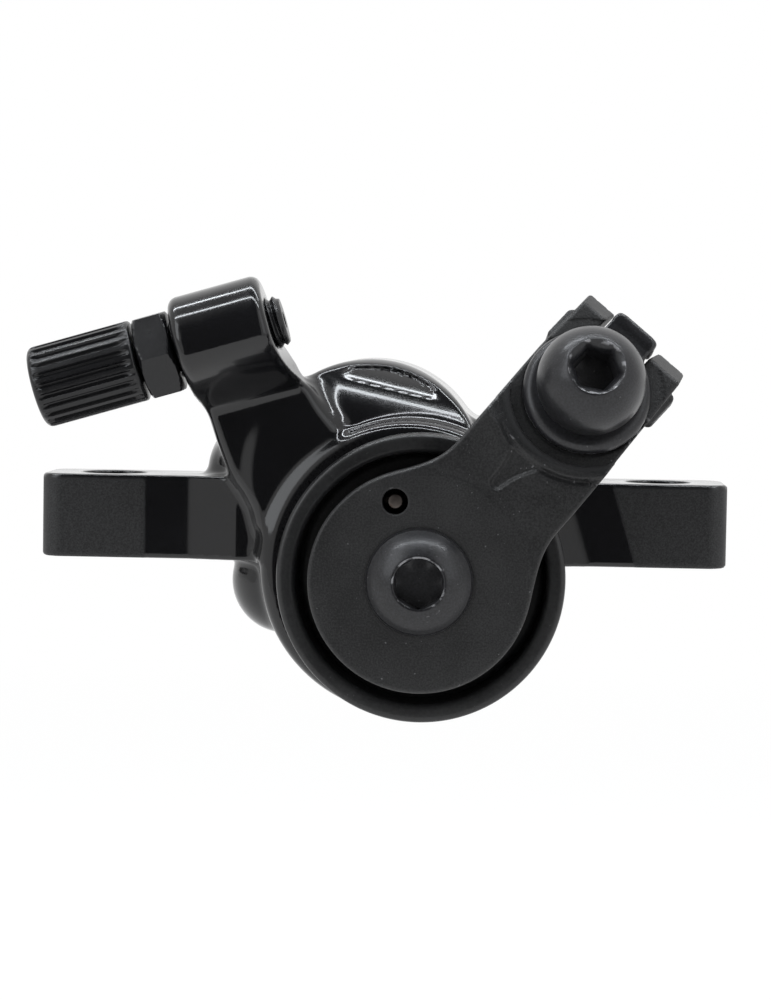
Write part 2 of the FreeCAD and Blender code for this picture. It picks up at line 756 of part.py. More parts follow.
def actuator_arm():
    back = "arm_front + arm_thickness"
    flat = block("arm_flat", ("-hub_radius - 1", "arm_front", "-hub_radius - 1"),
                 ("step_reach", back, "hub_radius + 1"))
    hub = rod("arm_hub", "hub_radius", "arm_front", "arm_front + hub_depth")
    to_seat = arm_frame.inverse().multiply(seat_frame)
    tilted = moved("arm_tilted", to_seat,
                   block("arm_tilted_slab", ("step_reach - pinch_reach - arm_thickness - tilt_overlap", "0",
                                             "-hub_radius"),
                         ("tip_margin + arm_thickness", "arm_thickness", "hub_radius")))
    plate = common("arm_plate", fused("arm_slabs", flat, hub, tilted), arm_outline())

    lip_spans = (("left", "arm_left + pinch_side - lip_root", "arm_left - pinch_side + lip_height"),
                 ("right", "-arm_left - pinch_side - lip_height", "lip_root - arm_left"))
    lips = [block(f"arm_lip_{name}", ("-lip_width / 2", "lip_front_inset", low),
                  ("lip_width / 2", "arm_thickness - lip_back_inset", high)) for name, low, high in lip_spans]
    slant = block("arm_slant", ("0", "-hub_radius", "-hub_radius"),
                  ("hub_radius", "hub_radius", "hub_radius"))
    end_turn = math.degrees(math.atan2(size("arm_end_slant"), size("arm_thickness")))
    end_turned = Placement(Vector(size("tip_margin"), 0, 0), Rotation(Vector(0, 0, 1), -end_turn))
    end_cut = moved("arm_end_cut", to_seat * end_turned, slant)
    tools = [
        moved("seat_step", to_seat, rod("seat_step_drill", "step_radius", "-2 * arm_thickness", "0")),
        moved("pinch_hole", to_seat,
              rod("pinch_drill", "pinch_shank_radius + running_fit", "-1", "3 * arm_thickness")),
        moved("tip_notch", to_seat,
              block("tip_notch_slot", ("tab_reach - washer_thickness - tab_clearance", "-arm_thickness",
                                       "-tab_width / 2 - tab_clearance"),
                    ("tab_reach + tip_margin", "3 * arm_thickness", "tab_width / 2 + tab_clearance"))),
        end_cut,
        double_d("arm_square", "running_fit", "arm_front - 1", "arm_front + hub_depth + 1"),
        leg_window(),
    ]
    solid_arm = fused("arm_blank", plate, moved("arm_lips", to_seat, *lips))
    made = cut("actuator_arm", solid_arm, *tools)
    made.Placement = arm_frame
    return made


def double_d(name, slack, front, back):
    """Round bar with two flats across, as on the front end of the shaft."""
    bar = rod(name + "_bar", f"shaft_end_radius + {slack}", front, back)
    flats = block(name + "_flats", ("-shaft_radius", front, f"-shaft_flats / 2 - {slack}"),
                  ("shaft_radius", back, f"shaft_flats / 2 + {slack}"))
    return common(name, bar, flats)


def leg_window():
    """Small hole in the hub that the spring's front leg passes through."""
    front_leg = arm_frame.inverse().multVec(spring_layout()[2][0])
    drill = doc.addObject("Part::Cylinder", "leg_window")
    drill.Placement = Placement(Vector(front_leg.x, size("arm_front") - 1, front_leg.z), along_y)
    return bind(drill, Radius="wire_radius + leg_slack", Height="hub_depth + 2")


def arm_bolt():
    """Button head screw: a slice of a large ball over a straight shank."""
    crown = "((arm_bolt_radius ^ 2 + arm_bolt_height ^ 2) / (2 * arm_bolt_height))"
    low = f"asin(({crown} - arm_bolt_height) / {crown})"
    high = f"acos(arm_bolt_rim / {crown})"
    head = ball_slice("arm_bolt_head", crown, low, high, f"arm_front + {crown} - arm_bolt_height", **pivot)
    shank = rod("arm_bolt_shank", "arm_bolt_shank_radius", "arm_front - arm_bolt_floor / 2",
                "arm_front + arm_bolt_length", **pivot)
    socket = hexagon("arm_bolt_hex", "arm_bolt_socket", "arm_front - arm_bolt_height - 1",
                     "arm_front - arm_bolt_floor", **pivot)
    return cut("arm_bolt", fused("arm_bolt_blank", head, shank), socket)


def pinch_bolt():
    """Ball-shaped head cut flat in front, on a shank that screws into the arm."""
    under = "-washer_thickness"
    head = ball_slice("pinch_head", "pinch_ball_radius", "asin(-pinch_ball_base / pinch_ball_radius)",
                      "asin(pinch_ball_top / pinch_ball_radius)", f"{under} - pinch_ball_base")
    shank = rod("pinch_shank", "pinch_shank_radius", f"{under} - pinch_ball_base / 2", "pinch_shank_length")
    top = f"{under} - pinch_ball_base - pinch_ball_top"
    socket = hexagon("pinch_hex", "pinch_socket", f"{top} - 1", f"{top} + pinch_socket_depth", turned=30)
    made = cut("pinch_bolt", fused("pinch_blank", head, shank), socket)
    made.Placement = seat_frame
    return made


def clamp_washer():
    """Thick washer with a tab that runs out to the arm's tip and bends down into its notch."""
    side = "tab_width / 2"
    made = cut("clamp_washer",
               fused("clamp_washer_blank",
                     rod("clamp_disc", "washer_radius", "-washer_thickness", "0"),
                     block("clamp_tab", ("0", "-washer_thickness", f"-{side}"), ("tab_reach", "0", side)),
                     block("clamp_hook", ("tab_reach - washer_thickness", "-washer_thickness", f"-{side}"),
                           ("tab_reach", "tab_drop", side))),
               rod("clamp_hole", "pinch_shank_radius + slide_fit", "-washer_thickness - 1", "1"))
    made.Placement = seat_frame
    return made


# Shaft, cam, balls and piston on the pivot's axis


cam_level = sum(size(part) for part in (
    "boss_front", "pocket_depth", "pocket_floor", "thrust_thickness", "washer_gap", "cam_thickness"))


def ramp_cutters(name, turn, rise):
    """Grooves that the balls roll in: each starts level with the ball and rises along the arc."""
    cutters = []
    radius = size("ball_radius") + size("running_fit")
    level = cam_level + size("ramp_gap") / 2
    overrun = math.copysign(size("ramp_overrun"), turn)
    extra = rise * overrun / turn
    for n in range(int(size("ball_count"))):
        first = 90 + 360 * n / size("ball_count")
        points, ways = winding(size("ball_circle"), [first - overrun, first + turn + overrun],
                               [level - extra, level + rise + extra])
        cutters.append(solid(f"{name}_{n}", tube(biarc(points[0], ways[0], points[1], ways[1]), radius)))
    return cutters


def cam_shaft():
    shaft, arm_back = "shaft_radius", "arm_front + hub_depth"
    flange = f"{cam_face} - cam_thickness"
    blank = turned("cam_blank", [("0", arm_back), (shaft, arm_back), (shaft, flange), ("cam_radius", flange),
                                 ("cam_radius", cam_face), ("0", cam_face)])
    neck = moved("shaft_neck", Placement(pivot_point, arm_frame.Rotation),
                 double_d("shaft_end", "0", "arm_front + shaft_end_depth", f"{arm_back} + 1"))
    tap = rod("shaft_tap", "shaft_tap_radius", "arm_front", f"{flange} - shaft_tap_floor", **pivot)
    ramps = ramp_cutters("cam_ramp", -size("arm_travel") / 2, size("piston_travel") / 2)
    return cut_in_turn("cam_shaft", cut("cam_tapped", fused("cam_solid", blank, neck), tap), ramps)


def piston():
    blank = turned("piston_blank", [
        ("0", piston_face), ("bore_radius - slide_fit", piston_face),
        ("bore_radius - slide_fit", piston_back), ("0", piston_back)])
    magnet_seat = rod("piston_magnet_seat", "magnet_radius + running_fit",
                      f"{piston_back} - magnet_thickness", f"{piston_back} + 1", **pivot)
    ramps = ramp_cutters("piston_ramp", size("arm_travel") / 2, -size("piston_travel") / 2)
    slots = keyways("piston_keyway", "key_radius + key_slack", f"{piston_face} - 1", f"{piston_back} + 1")
    return cut_in_turn("piston", cut("piston_slotted", blank, magnet_seat, *slots), ramps)


def ball_cage():
    middle = f"{cam_face} + ramp_gap / 2"
    front, back = f"{middle} - cage_thickness / 2", f"{middle} + cage_thickness / 2"
    ring = turned("cage_blank", [("cage_inner", front), ("cage_outer", front),
                                 ("cage_outer", back), ("cage_inner", back)])

    def hole(name, x, z):
        return rod(name, "ball_radius + cage_ball_fit", f"{front} - 1", f"{back} + 1", x, z)

    return cut("ball_cage", ring, *at_balls("cage_hole", hole))


def at_balls(name, make):
    """Repeats a piece at each ball's place round the pivot."""
    made = []
    for n in range(int(size("ball_count"))):
        angle = f"(90 + {360 * n} / ball_count)"
        made.append(make(f"{name}_{n}", f"pivot_x + ball_circle * cos({angle})",
                         f"pivot_z + ball_circle * sin({angle})"))
    return made


def ramp_balls():
    def ball(name, x, z):
        made = doc.addObject("Part::Sphere", name)
        return bind(made, Radius="ball_radius", Placement__Base__x=x,
                    Placement__Base__y=f"{cam_face} + ramp_gap / 2", Placement__Base__z=z)

    return grouped("ramp_balls", at_balls("ball", ball))


def shaft_bush():
    inside, outside = "shaft_radius + running_fit", "shaft_radius + running_fit + bush_wall"
    front, back = f"{bore_wall} - bush_length", bore_wall
    return turned("shaft_bush", [(inside, front), (outside, front), (outside, back), (inside, back)])


def shaft_seal():
    ring = doc.addObject("Part::Torus", "shaft_seal")
    ring.Placement = Placement(Vector(), along_y)
    return bind(ring, Radius1="shaft_radius + running_fit + bush_wall / 2", Radius2="bush_wall / 2",
                Placement__Base__x="pivot_x", Placement__Base__y=f"{bore_wall} - bush_length - bush_wall / 2",
                Placement__Base__z="pivot_z")


def thrust_washer():
    front, back = bore_wall, f"{bore_wall} + thrust_thickness"
    inside, outside = "shaft_radius + 2 * slide_fit", "cam_radius - thrust_margin"
    return turned("thrust_washer", [(inside, front), (outside, front), (outside, back), (inside, back)])


def guide_pins():
    outer = keyways("outer_pin", "key_radius", f"{cam_face} + key_inset", f"{slot_front} - key_gap")
    inner = keyways("inner_pin", "key_radius", f"{slot_back} + key_gap", f"{slot_back} + inner_bore_depth")
    return grouped("guide_pins", outer + inner)


# Brake pads: each has a backing plate, a lining and a magnet that holds it


def pad_plate(name, front, back):
    blank = rod(name + "_blank", "plate_radius", front, back, **pivot)
    notches = keyways(name + "_notch", "key_radius + key_slack", f"{front} - 1", f"{back} + 1")
    return cut(name, blank, *notches)


def pad_lining(name, front, back):
    """Round lining with a chamfered rim on both sides and a dust groove across its face."""
    blank = rod(name + "_blank", "lining_radius", front, back, **pivot)
    groove = block(name + "_groove",
                   ("pivot_x - lining_groove / 2", f"{front} - 1", "pivot_z - plate_radius"),
                   ("pivot_x + lining_groove / 2", f"{back} + 1", "pivot_z + plate_radius"))
    return blank, groove


def outer_pad():
    plate_back = f"({piston_back} + plate_thickness)"
    face = f"({plate_back} + lining_thickness)"
    blank, groove = pad_lining("outer_lining", plate_back, face)
    bind(groove, Placement__Base__y=f"{face} - groove_depth")
    magnet_front = f"{piston_back} - magnet_thickness"
    magnet = rod("outer_pad_magnet", "magnet_radius", magnet_front, piston_back, **pivot)
    plate = pad_plate("outer_pad_plate", piston_back, plate_back)
    return [plate, cut("outer_pad_lining", blank, groove), magnet]


inner_face = "(rotor_plane + rotor_thickness / 2 + pad_clearance)"
inner_plate_front = f"({inner_face} + lining_thickness)"
carrier_front = f"({inner_plate_front} + plate_thickness)"
carrier_back = f"({carrier_front} + carrier_thickness)"
magnet_back = f"({carrier_front} + inner_magnet_thickness)"


def inner_pad():
    blank, groove = pad_lining("inner_lining", inner_face, inner_plate_front)
    bind(groove, Width="groove_depth + 1")
    magnet = rod("inner_pad_magnet", "magnet_radius", carrier_front, magnet_back, **pivot)
    plate = pad_plate("inner_pad_plate", inner_plate_front, carrier_front)
    return [plate, cut("inner_pad_lining", blank, groove), magnet]


def pad_carrier():
    blank = rod("carrier_blank", "bore_radius - slide_fit", carrier_front, carrier_back, **pivot)
    seat = rod("carrier_magnet_seat", "magnet_radius + running_fit",
               f"{carrier_front} - 1", magnet_back, **pivot)
    hole = rod("carrier_hole", "screw_neck_radius + running_fit",
               carrier_front, f"{carrier_back} + 1", **pivot)
    slots = keyways("carrier_keyway", "key_radius + key_slack", f"{carrier_front} - 1", f"{carrier_back} + 1")
    return cut("pad_carrier", blank, seat, hole, *slots)


def pad_adjuster_screw():
    neck, thread = "screw_neck_radius", "screw_radius"
    neck_front = f"{carrier_back} - screw_neck_length"
    shoulder, end = f"{carrier_back} + running_fit", f"{inner_back} + screw_proud"
    blank = turned("adjuster_blank", [
        ("0", neck_front), (neck, neck_front), (neck, shoulder), (thread, shoulder),
        (thread, f"{end} - screw_chamfer"), (f"{thread} - screw_chamfer", end), ("0", end)])
    return cut("pad_adjuster_screw", blank,
               hexagon("adjuster_hex", "screw_socket", f"{end} - screw_socket_depth", f"{end} + 1", **pivot))


def adjuster_seal():
    ring = doc.addObject("Part::Torus", "adjuster_seal")
    ring.Placement = Placement(Vector(), along_y)
    return bind(ring, Radius1="screw_radius + running_fit + seal_section", Radius2="seal_section",
                Placement__Base__x="pivot_x", Placement__Base__y=f"{inner_back} - seal_inset",
                Placement__Base__z="pivot_z")


# Cable adjuster on the lug's axis


nut_back = "(-lug_length / 2 - nut_gap)"
knob_back = f"({nut_back} - nut_thickness - knob_gap)"
knob_front = f"({knob_back} - knob_length)"
housing_stop = f"({knob_front} + housing_bore_depth + seat_thickness)"


def barrel_knob():
    radius, bore, stud = "knob_radius", "housing_bore_radius", "stud_radius"
    seat, wire = "housing_bore_radius - seat_ledge", "cable_bore_radius"
    step = f"{housing_stop} + knob_floor"
    blank = turned("knob_blank", [
        (bore, knob_front), (f"{radius} - knob_round", knob_front), (radius, f"{knob_front} + knob_round"),
        (radius, f"{knob_back} - knob_round / 2"), (f"{radius} - knob_round / 2", knob_back),
        (stud, knob_back), (stud, step), (wire, step), (wire, housing_stop), (seat, housing_stop),
        (seat, f"{housing_stop} - seat_thickness"), (bore, f"{housing_stop} - seat_thickness")], Placement())
    flutes = []
    for n in range(int(size("knob_flutes"))):
        angle = f"(360 * {n} / knob_flutes)"
        flutes.append(rod(f"flute_{n}", "flute_radius", f"{knob_front} + knob_round - flute_margin",
                          f"{knob_back} - flute_margin",
                          f"knob_radius * cos({angle})", f"knob_radius * sin({angle})"))
    made = cut("barrel_knob", blank, *flutes)
    made.Placement = cable_frame
    return made


def barrel_stud():
    front, back = f"{housing_stop} + knob_floor", "(lug_length / 2 + stud_overrun)"
    return turned("barrel_stud", [
        ("cable_bore_radius", front), ("stud_radius", front), ("stud_radius", f"{back} - stud_chamfer"),
        ("stud_radius - stud_chamfer", back), ("cable_bore_radius", back)], cable_frame)


def barrel_locknut():
    front = f"{nut_back} - nut_thickness"
    nut = hexagon("nut_hex", "nut_flats", front, nut_back, turned=size("nut_turned"))
    face, corner = "nut_flats / 2 - nut_end_inset", "nut_flats / 2 + nut_corner_reach"
    ends = turned("nut_ends", [
        ("0", front), (face, front), (corner, f"{front} + nut_chamfer"),
        (corner, f"{nut_back} - nut_chamfer"), (face, nut_back), ("0", nut_back)], Placement())
    hole = rod("nut_hole", "stud_radius + running_fit", f"{front} - 1", f"{nut_back} + 1")
    made = cut("barrel_locknut", common("nut_blank", nut, ends), hole)
    made.Placement = cable_frame
    return made


def housing_seat():
    front, back = f"{housing_stop} - seat_thickness", housing_stop
    radius, wire = "housing_bore_radius - seat_ledge - running_fit", "cable_bore_radius"
    return turned("housing_seat", [(wire, front), (radius, front), (radius, back), (wire, back)], cable_frame)


nodes = [
    caliper_body(), inner_body(), body_bolts(), spring_cover(), return_spring(),
    actuator_arm(), arm_bolt(), pinch_bolt(), clamp_washer(),
    cam_shaft(), shaft_bush(), shaft_seal(), thrust_washer(), ball_cage(), ramp_balls(),
    piston(), guide_pins(),
    *outer_pad(), *inner_pad(), pad_carrier(), pad_adjuster_screw(), adjuster_seal(),
    barrel_knob(), barrel_stud(), barrel_locknut(), housing_seat(),
]
doc.recompute()

for thing in doc.Objects:
    if {"Invalid", "Error"} & set(thing.State):
        raise RuntimeError(f"{thing.Label} did not compute")
for node in nodes:
    if node.Shape.isNull() or not node.Shape.isValid():
        raise RuntimeError(f"{node.Label} has no valid shape")

os.makedirs("parts", exist_ok=True)
for node in nodes:
    node.Shape.exportStep(f"parts/{node.Label}.step")
    box = node.Shape.BoundBox
    print(f"{node.Label}: {len(node.Shape.Solids)} solid(s), {node.Shape.Volume:.1f} mm3, "
          f"y {box.YMin:.2f} to {box.YMax:.2f}")
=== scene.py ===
import json
import math

import bmesh
import bpy
import numpy as np
from mathutils import Matrix, Vector


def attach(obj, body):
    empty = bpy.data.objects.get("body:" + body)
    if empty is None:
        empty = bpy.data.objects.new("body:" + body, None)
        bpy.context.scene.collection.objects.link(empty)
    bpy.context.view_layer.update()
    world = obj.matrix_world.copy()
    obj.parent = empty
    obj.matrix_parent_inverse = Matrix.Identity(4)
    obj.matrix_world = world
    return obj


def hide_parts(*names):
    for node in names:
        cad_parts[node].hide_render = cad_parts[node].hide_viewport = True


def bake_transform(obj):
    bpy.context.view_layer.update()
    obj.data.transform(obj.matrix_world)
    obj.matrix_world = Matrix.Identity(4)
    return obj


# Cable-pulled disc brake caliper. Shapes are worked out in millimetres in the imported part's own frame:
# +X along the mounting holes, +Y from the arm towards the wheel, +Z up.

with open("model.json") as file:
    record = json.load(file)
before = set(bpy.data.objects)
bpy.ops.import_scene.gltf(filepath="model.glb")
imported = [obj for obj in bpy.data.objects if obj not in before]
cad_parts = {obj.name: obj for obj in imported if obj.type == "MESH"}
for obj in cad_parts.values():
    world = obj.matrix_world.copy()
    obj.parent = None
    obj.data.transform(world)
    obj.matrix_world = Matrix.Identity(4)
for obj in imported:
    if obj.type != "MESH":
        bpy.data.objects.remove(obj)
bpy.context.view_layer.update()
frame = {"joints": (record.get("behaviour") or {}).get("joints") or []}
mm = 0.001
joints = {joint["name"]: joint for joint in frame["joints"]}
pivot = np.array(joints["arm_pivot"]["pos_m"]) / mm
barrel = joints["barrel_turn"]
cableRun = -np.array(barrel["axis"])


def placeAt(origin, along, axis):
    # a frame of its own: local X, Y and Z as rows, with Y the axis that pieces are turned round
    axis = np.array(axis, float) / np.linalg.norm(axis)
    along = np.array(along, float) - axis * np.dot(along, axis)
    along /= np.linalg.norm(along)
    return np.array(origin, float), np.array([along, axis, np.cross(along, axis)])


def toLocal(points, place):
    return (points - place[0]) @ place[1].T


def toRow(points, place):
    return points @ place[1] + place[0]


armHeading, seatTilt, seatHeading = np.radians([50.0, 19.5, 75.0])
hubPlace = (pivot * (1, 0, 1), np.eye(3))
armPlace = placeAt(pivot, (math.cos(armHeading), 0, math.sin(armHeading)), (0, 1, 0))
seatInward = np.array([-math.sin(seatTilt) * math.cos(seatHeading), math.cos(seatTilt),
                       -math.sin(seatTilt) * math.sin(seatHeading)])
seatOnArm = np.array([32.5, -18.9, -0.3])
seatPlace = placeAt(toRow(seatOnArm, armPlace), armPlace[1][0], seatInward)
cablePlace = placeAt(np.array(barrel["pos_m"]) / mm, (0, -1, 0), cableRun)

print("frame read")


# Meshes from arrays

def putMesh(name, points, faces, material, body, stands, normals=None, sharp=None, extra=None):
    mesh = bpy.data.meshes.new(name)
    mesh.vertices.add(len(points))
    mesh.vertices.foreach_set("co", (points * mm).astype(np.float32).ravel())
    mesh.loops.add(faces.size)
    mesh.loops.foreach_set("vertex_index", faces.astype(np.int32).ravel())
    mesh.polygons.add(len(faces))
    mesh.polygons.foreach_set("loop_start", np.arange(0, faces.size, faces.shape[1], dtype=np.int32))
    mesh.update(calc_edges=True)
    mesh.validate()
    for label, values in (extra or {}).items():
        column = mesh.attributes.new(label, "FLOAT", "POINT").data
        column.foreach_set("value", values.astype(np.float32).ravel())
    mesh.shade_smooth()
    if normals is not None:
        mesh.normals_split_custom_set_from_vertices(normals)
    made = bpy.data.objects.new(name, mesh)
    bpy.context.scene.collection.objects.link(made)
    if sharp is not None:
        weld(made, sharp)
    mesh.materials.append(material)
    if body:
        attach(made, body)
    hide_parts(*stands)
    return made


def weld(made, sharp):
    # merges the poles and seams, turns the faces outwards and marks the edges that stay crisp
    work = bmesh.new()
    work.from_mesh(made.data)
    bmesh.ops.remove_doubles(work, verts=work.verts, dist=2e-6)
    bmesh.ops.dissolve_degenerate(work, edges=work.edges, dist=1e-7)
    bmesh.ops.recalc_face_normals(work, faces=work.faces)
    work.to_mesh(made.data)
    work.free()
    made.data.set_sharp_from_angle(angle=math.radians(sharp))


def gridFaces(rows, columns):
    # quads between neighbouring rows of a grid whose last column meets its first, numbered row by row
    r, c = np.meshgrid(np.arange(rows - 1), np.arange(columns), indexing="ij")
    below, right = r + 1, (c + 1) % columns
    corners = [r * columns + c, below * columns + c, below * columns + right, r * columns + right]
    return np.stack(corners, -1).reshape(-1, 4)


def spun(radii, heights, place, sides):
    # Surface of revolution as a function of row and angle: each row has a radius, which may change with the
    # angle, and a height along the local Y axis.
    angle = np.linspace(0, 2 * math.pi, sides, endpoint=False)
    radii = np.broadcast_to(np.asarray(radii, float).reshape(len(heights), -1), (len(heights), sides))
    heights = np.broadcast_to(np.asarray(heights, float).reshape(len(heights), -1), radii.shape)
    local = np.stack([radii * np.cos(angle), heights, radii * np.sin(angle)], -1)
    return toRow(local.reshape(-1, 3), place), gridFaces(len(heights), sides)


def softLine(corners, edge, steps=4):
    # Profile of (radius, height) corners whose inner corners become short arcs: each arc starts and ends at
    # edge from its corner, or at 0.45 of a shorter leg, and runs on the curve that legs and corner give.
    corners = np.array(corners, float)
    line = [corners[:1]]
    t = np.linspace(0, 1, steps + 1)[:, None]
    for before, corner, after in zip(corners, corners[1:], corners[2:]):
        back, onward = before - corner, after - corner
        cut = min(edge, np.linalg.norm(back) * 0.45, np.linalg.norm(onward) * 0.45)
        start = corner + back / np.linalg.norm(back) * cut
        end = corner + onward / np.linalg.norm(onward) * cut
        line.append(start * (1 - t) ** 2 + corner * 2 * t * (1 - t) + end * t ** 2)
    line.append(corners[-1:])
    return np.concatenate(line)


def hexReach(angle, turned=0.0):
    # how much further than its flats a hexagon reaches at each angle
    return 1 / np.cos((angle + turned) % (math.pi / 3) - math.pi / 6)


# Closed skins of solids that are given by their distance field

def slab(values, low, high):
    return np.abs(values - (low + high) / 2) - (high - low) / 2


def both(a, b, edge):
    # what lies in both, with a round edge
    a, b = a + edge, b + edge
    return np.minimum(np.maximum(a, b), 0) + np.hypot(np.maximum(a, 0), np.maximum(b, 0)) - edge


def joined(a, b, soft):
    # what lies in either, with a soft fillet
    share = np.maximum(soft - np.abs(a - b), 0) / soft
    return np.minimum(a, b) - share * share * soft / 4


def carved(a, b, soft):
    # a without b, with a soft edge
    return -joined(-a, b, soft)


def rodField(p, x, z, radius, front, back, edge):
    return both(np.hypot(p[..., 0] - x, p[..., 2] - z) - radius, slab(p[..., 1], front, back), edge)


def cellMap(inside):
    # the grid cells that the surface passes, numbered
    count = np.zeros(tuple(n - 1 for n in inside.shape), np.int8)
    for i in (0, 1):
        for j in (0, 1):
            for k in (0, 1):
                count += inside[i:i + count.shape[0], j:j + count.shape[1], k:k + count.shape[2]]
    passed = (count > 0) & (count < 8)
    numbers = np.full(passed.shape, -1, np.int64)
    numbers[passed] = np.arange(passed.sum())
    return passed, numbers


def slopeOf(field, points, reach):
    # direction in which the distance grows, from differences along each axis
    grown = []
    for axis in range(3):
        step = np.zeros(3)
        step[axis] = reach
        grown.append(field(points + step) - field(points - step))
    return np.stack(grown, -1) / (2 * reach)


def skinOf(field, low, high, step):
    # Surface nets: one point in each grid cell that the surface passes, one quad across each grid edge that
    # it cuts, and then every point slides down the field's slope onto the surface.
    axes = [np.arange(a - 1.5 * step, b + 2.5 * step, step) for a, b in zip(low, high)]
    plane = np.stack(np.meshgrid(axes[1], axes[2], indexing="ij"), -1)
    layers = []
    for x in axes[0]:
        depth = np.full(plane.shape[:2] + (1,), x)
        layers.append(field(np.concatenate([depth, plane], -1)).astype(np.float32))
    inside = np.stack(layers) < 0
    passed, numbers = cellMap(inside)
    cells = np.argwhere(passed)
    points = np.stack([axes[n][cells[:, n]] + step / 2 for n in range(3)], -1)
    for slide in range(5):
        slope = slopeOf(field, points, step * 0.1)
        size = np.maximum((slope ** 2).sum(-1), 0.05)
        move = slope * (field(points) / size)[:, None]
        length = np.linalg.norm(move, axis=1, keepdims=True)
        points = points - move * np.minimum(1, step * 0.6 / np.maximum(length, 1e-9))
    quads = []
    for axis in range(3):
        u, v = (axis + 1) % 3, (axis + 2) % 3
        first = np.moveaxis(inside, axis, 0)
        crossing = first[:-1] != first[1:]
        where = np.argwhere(np.moveaxis(crossing, 0, axis))
        limit = np.array(numbers.shape)
        ring = []
        for du, dv in ((0, 0), (-1, 0), (-1, -1), (0, -1)):
            cell = where.copy()
            cell[:, u] += du
            cell[:, v] += dv
            fits = ((cell >= 0) & (cell < limit)).all(1)
            cell = np.clip(cell, 0, limit - 1)
            ring.append(np.where(fits, numbers[tuple(cell.T)], -1))
        ring = np.stack(ring, -1)
        opening = inside[tuple(where.T)]
        ring[~opening] = ring[~opening][:, ::-1]
        quads.append(ring[(ring >= 0).all(1)])
    return points, np.concatenate(quads)


def unit(rows):
    return rows / np.linalg.norm(rows, axis=1, keepdims=True)


def facing(field, points, reach, depth):
    # Normals, and how worn each point is, which the finishes use both for wear and for a painted edge
    # highlight: near a convex edge a point at depth under the surface lies nearer to the outside than under a
    # flat face.
    normals = unit(slopeOf(field, points, reach))
    return normals, np.clip(1 + field(points - normals * depth) / depth, 0, 1)


def putSkin(name, field, low, high, step, material, body, stands, zones=None):
    points, faces = skinOf(field, low, high, step)
    normals, edgeWearAndSheen = facing(field, points, 0.06, 0.6)
    extra = {"edgeWearAndSheen": edgeWearAndSheen}
    for label, zone in (zones or {}).items():
        extra[label] = zone(points)
    print(f"{name}: {len(points)} points")
    putMesh(name, points, faces, material, body, stands, normals=normals, extra=extra)


# Finishes

def newFinish(name):
    made = bpy.data.materials.new(name)
    made.use_nodes = True
    tree = made.node_tree
    shader = tree.nodes["Principled BSDF"]
    place = tree.nodes.new("ShaderNodeTexCoord").outputs["Object"]
    return made, tree, shader, place


def noiseOf(tree, place, scale, detail, stretch=(1, 1, 1)):
    # cloudy values about 0.5; the scale counts cells per metre
    mapping = tree.nodes.new("ShaderNodeMapping")
    mapping.inputs["Scale"].default_value = stretch
    tree.links.new(place, mapping.inputs["Vector"])
    noise = tree.nodes.new("ShaderNodeTexNoise")
    noise.inputs["Scale"].default_value = scale
    noise.inputs["Detail"].default_value = detail
    tree.links.new(mapping.outputs["Vector"], noise.inputs["Vector"])
    return noise.outputs["Fac"]


def rangeOf(tree, value, low, high, newLow=0.0, newHigh=1.0):
    made = tree.nodes.new("ShaderNodeMapRange")
    for label, number in (("From Min", low), ("From Max", high), ("To Min", newLow), ("To Max", newHigh)):
        made.inputs[label].default_value = number
    tree.links.new(value, made.inputs["Value"])
    return made.outputs["Result"]


def combined(tree, kind, a, b):
    made = tree.nodes.new("ShaderNodeMath")
    made.operation = kind
    made.use_clamp = True
    for socket, value in zip(made.inputs, (a, b)):
        if isinstance(value, (int, float)):
            socket.default_value = value
        else:
            tree.links.new(value, socket)
    return made.outputs["Value"]


def mixed(tree, share, a, b):
    made = tree.nodes.new("ShaderNodeMix")
    made.data_type = "RGBA"
    tree.links.new(share, made.inputs["Factor"])
    for socket, value in ((made.inputs["A"], a), (made.inputs["B"], b)):
        if isinstance(value, tuple):
            socket.default_value = (*value, 1)
        else:
            tree.links.new(value, socket)
    return made.outputs["Result"]


def bumped(tree, shader, heights):
    # one bump after another: each height has its depth in metres
    last = None
    for height, depth in heights:
        bump = tree.nodes.new("ShaderNodeBump")
        bump.inputs["Distance"].default_value = depth
        bump.inputs["Strength"].default_value = 1.0
        tree.links.new(height, bump.inputs["Height"])
        if last is not None:
            tree.links.new(last, bump.inputs["Normal"])
        last = bump.outputs["Normal"]
    tree.links.new(last, shader.inputs["Normal"])


def attributeOf(tree, label):
    made = tree.nodes.new("ShaderNodeAttribute")
    made.attribute_name = label
    return made.outputs["Fac"]


dustColour = (0.35, 0.35, 0.36)
rustColour = (0.09, 0.05, 0.03)
satinColours = (0.009, 0.009, 0.0095), (0.03, 0.03, 0.031)
satinRougher = 0.36


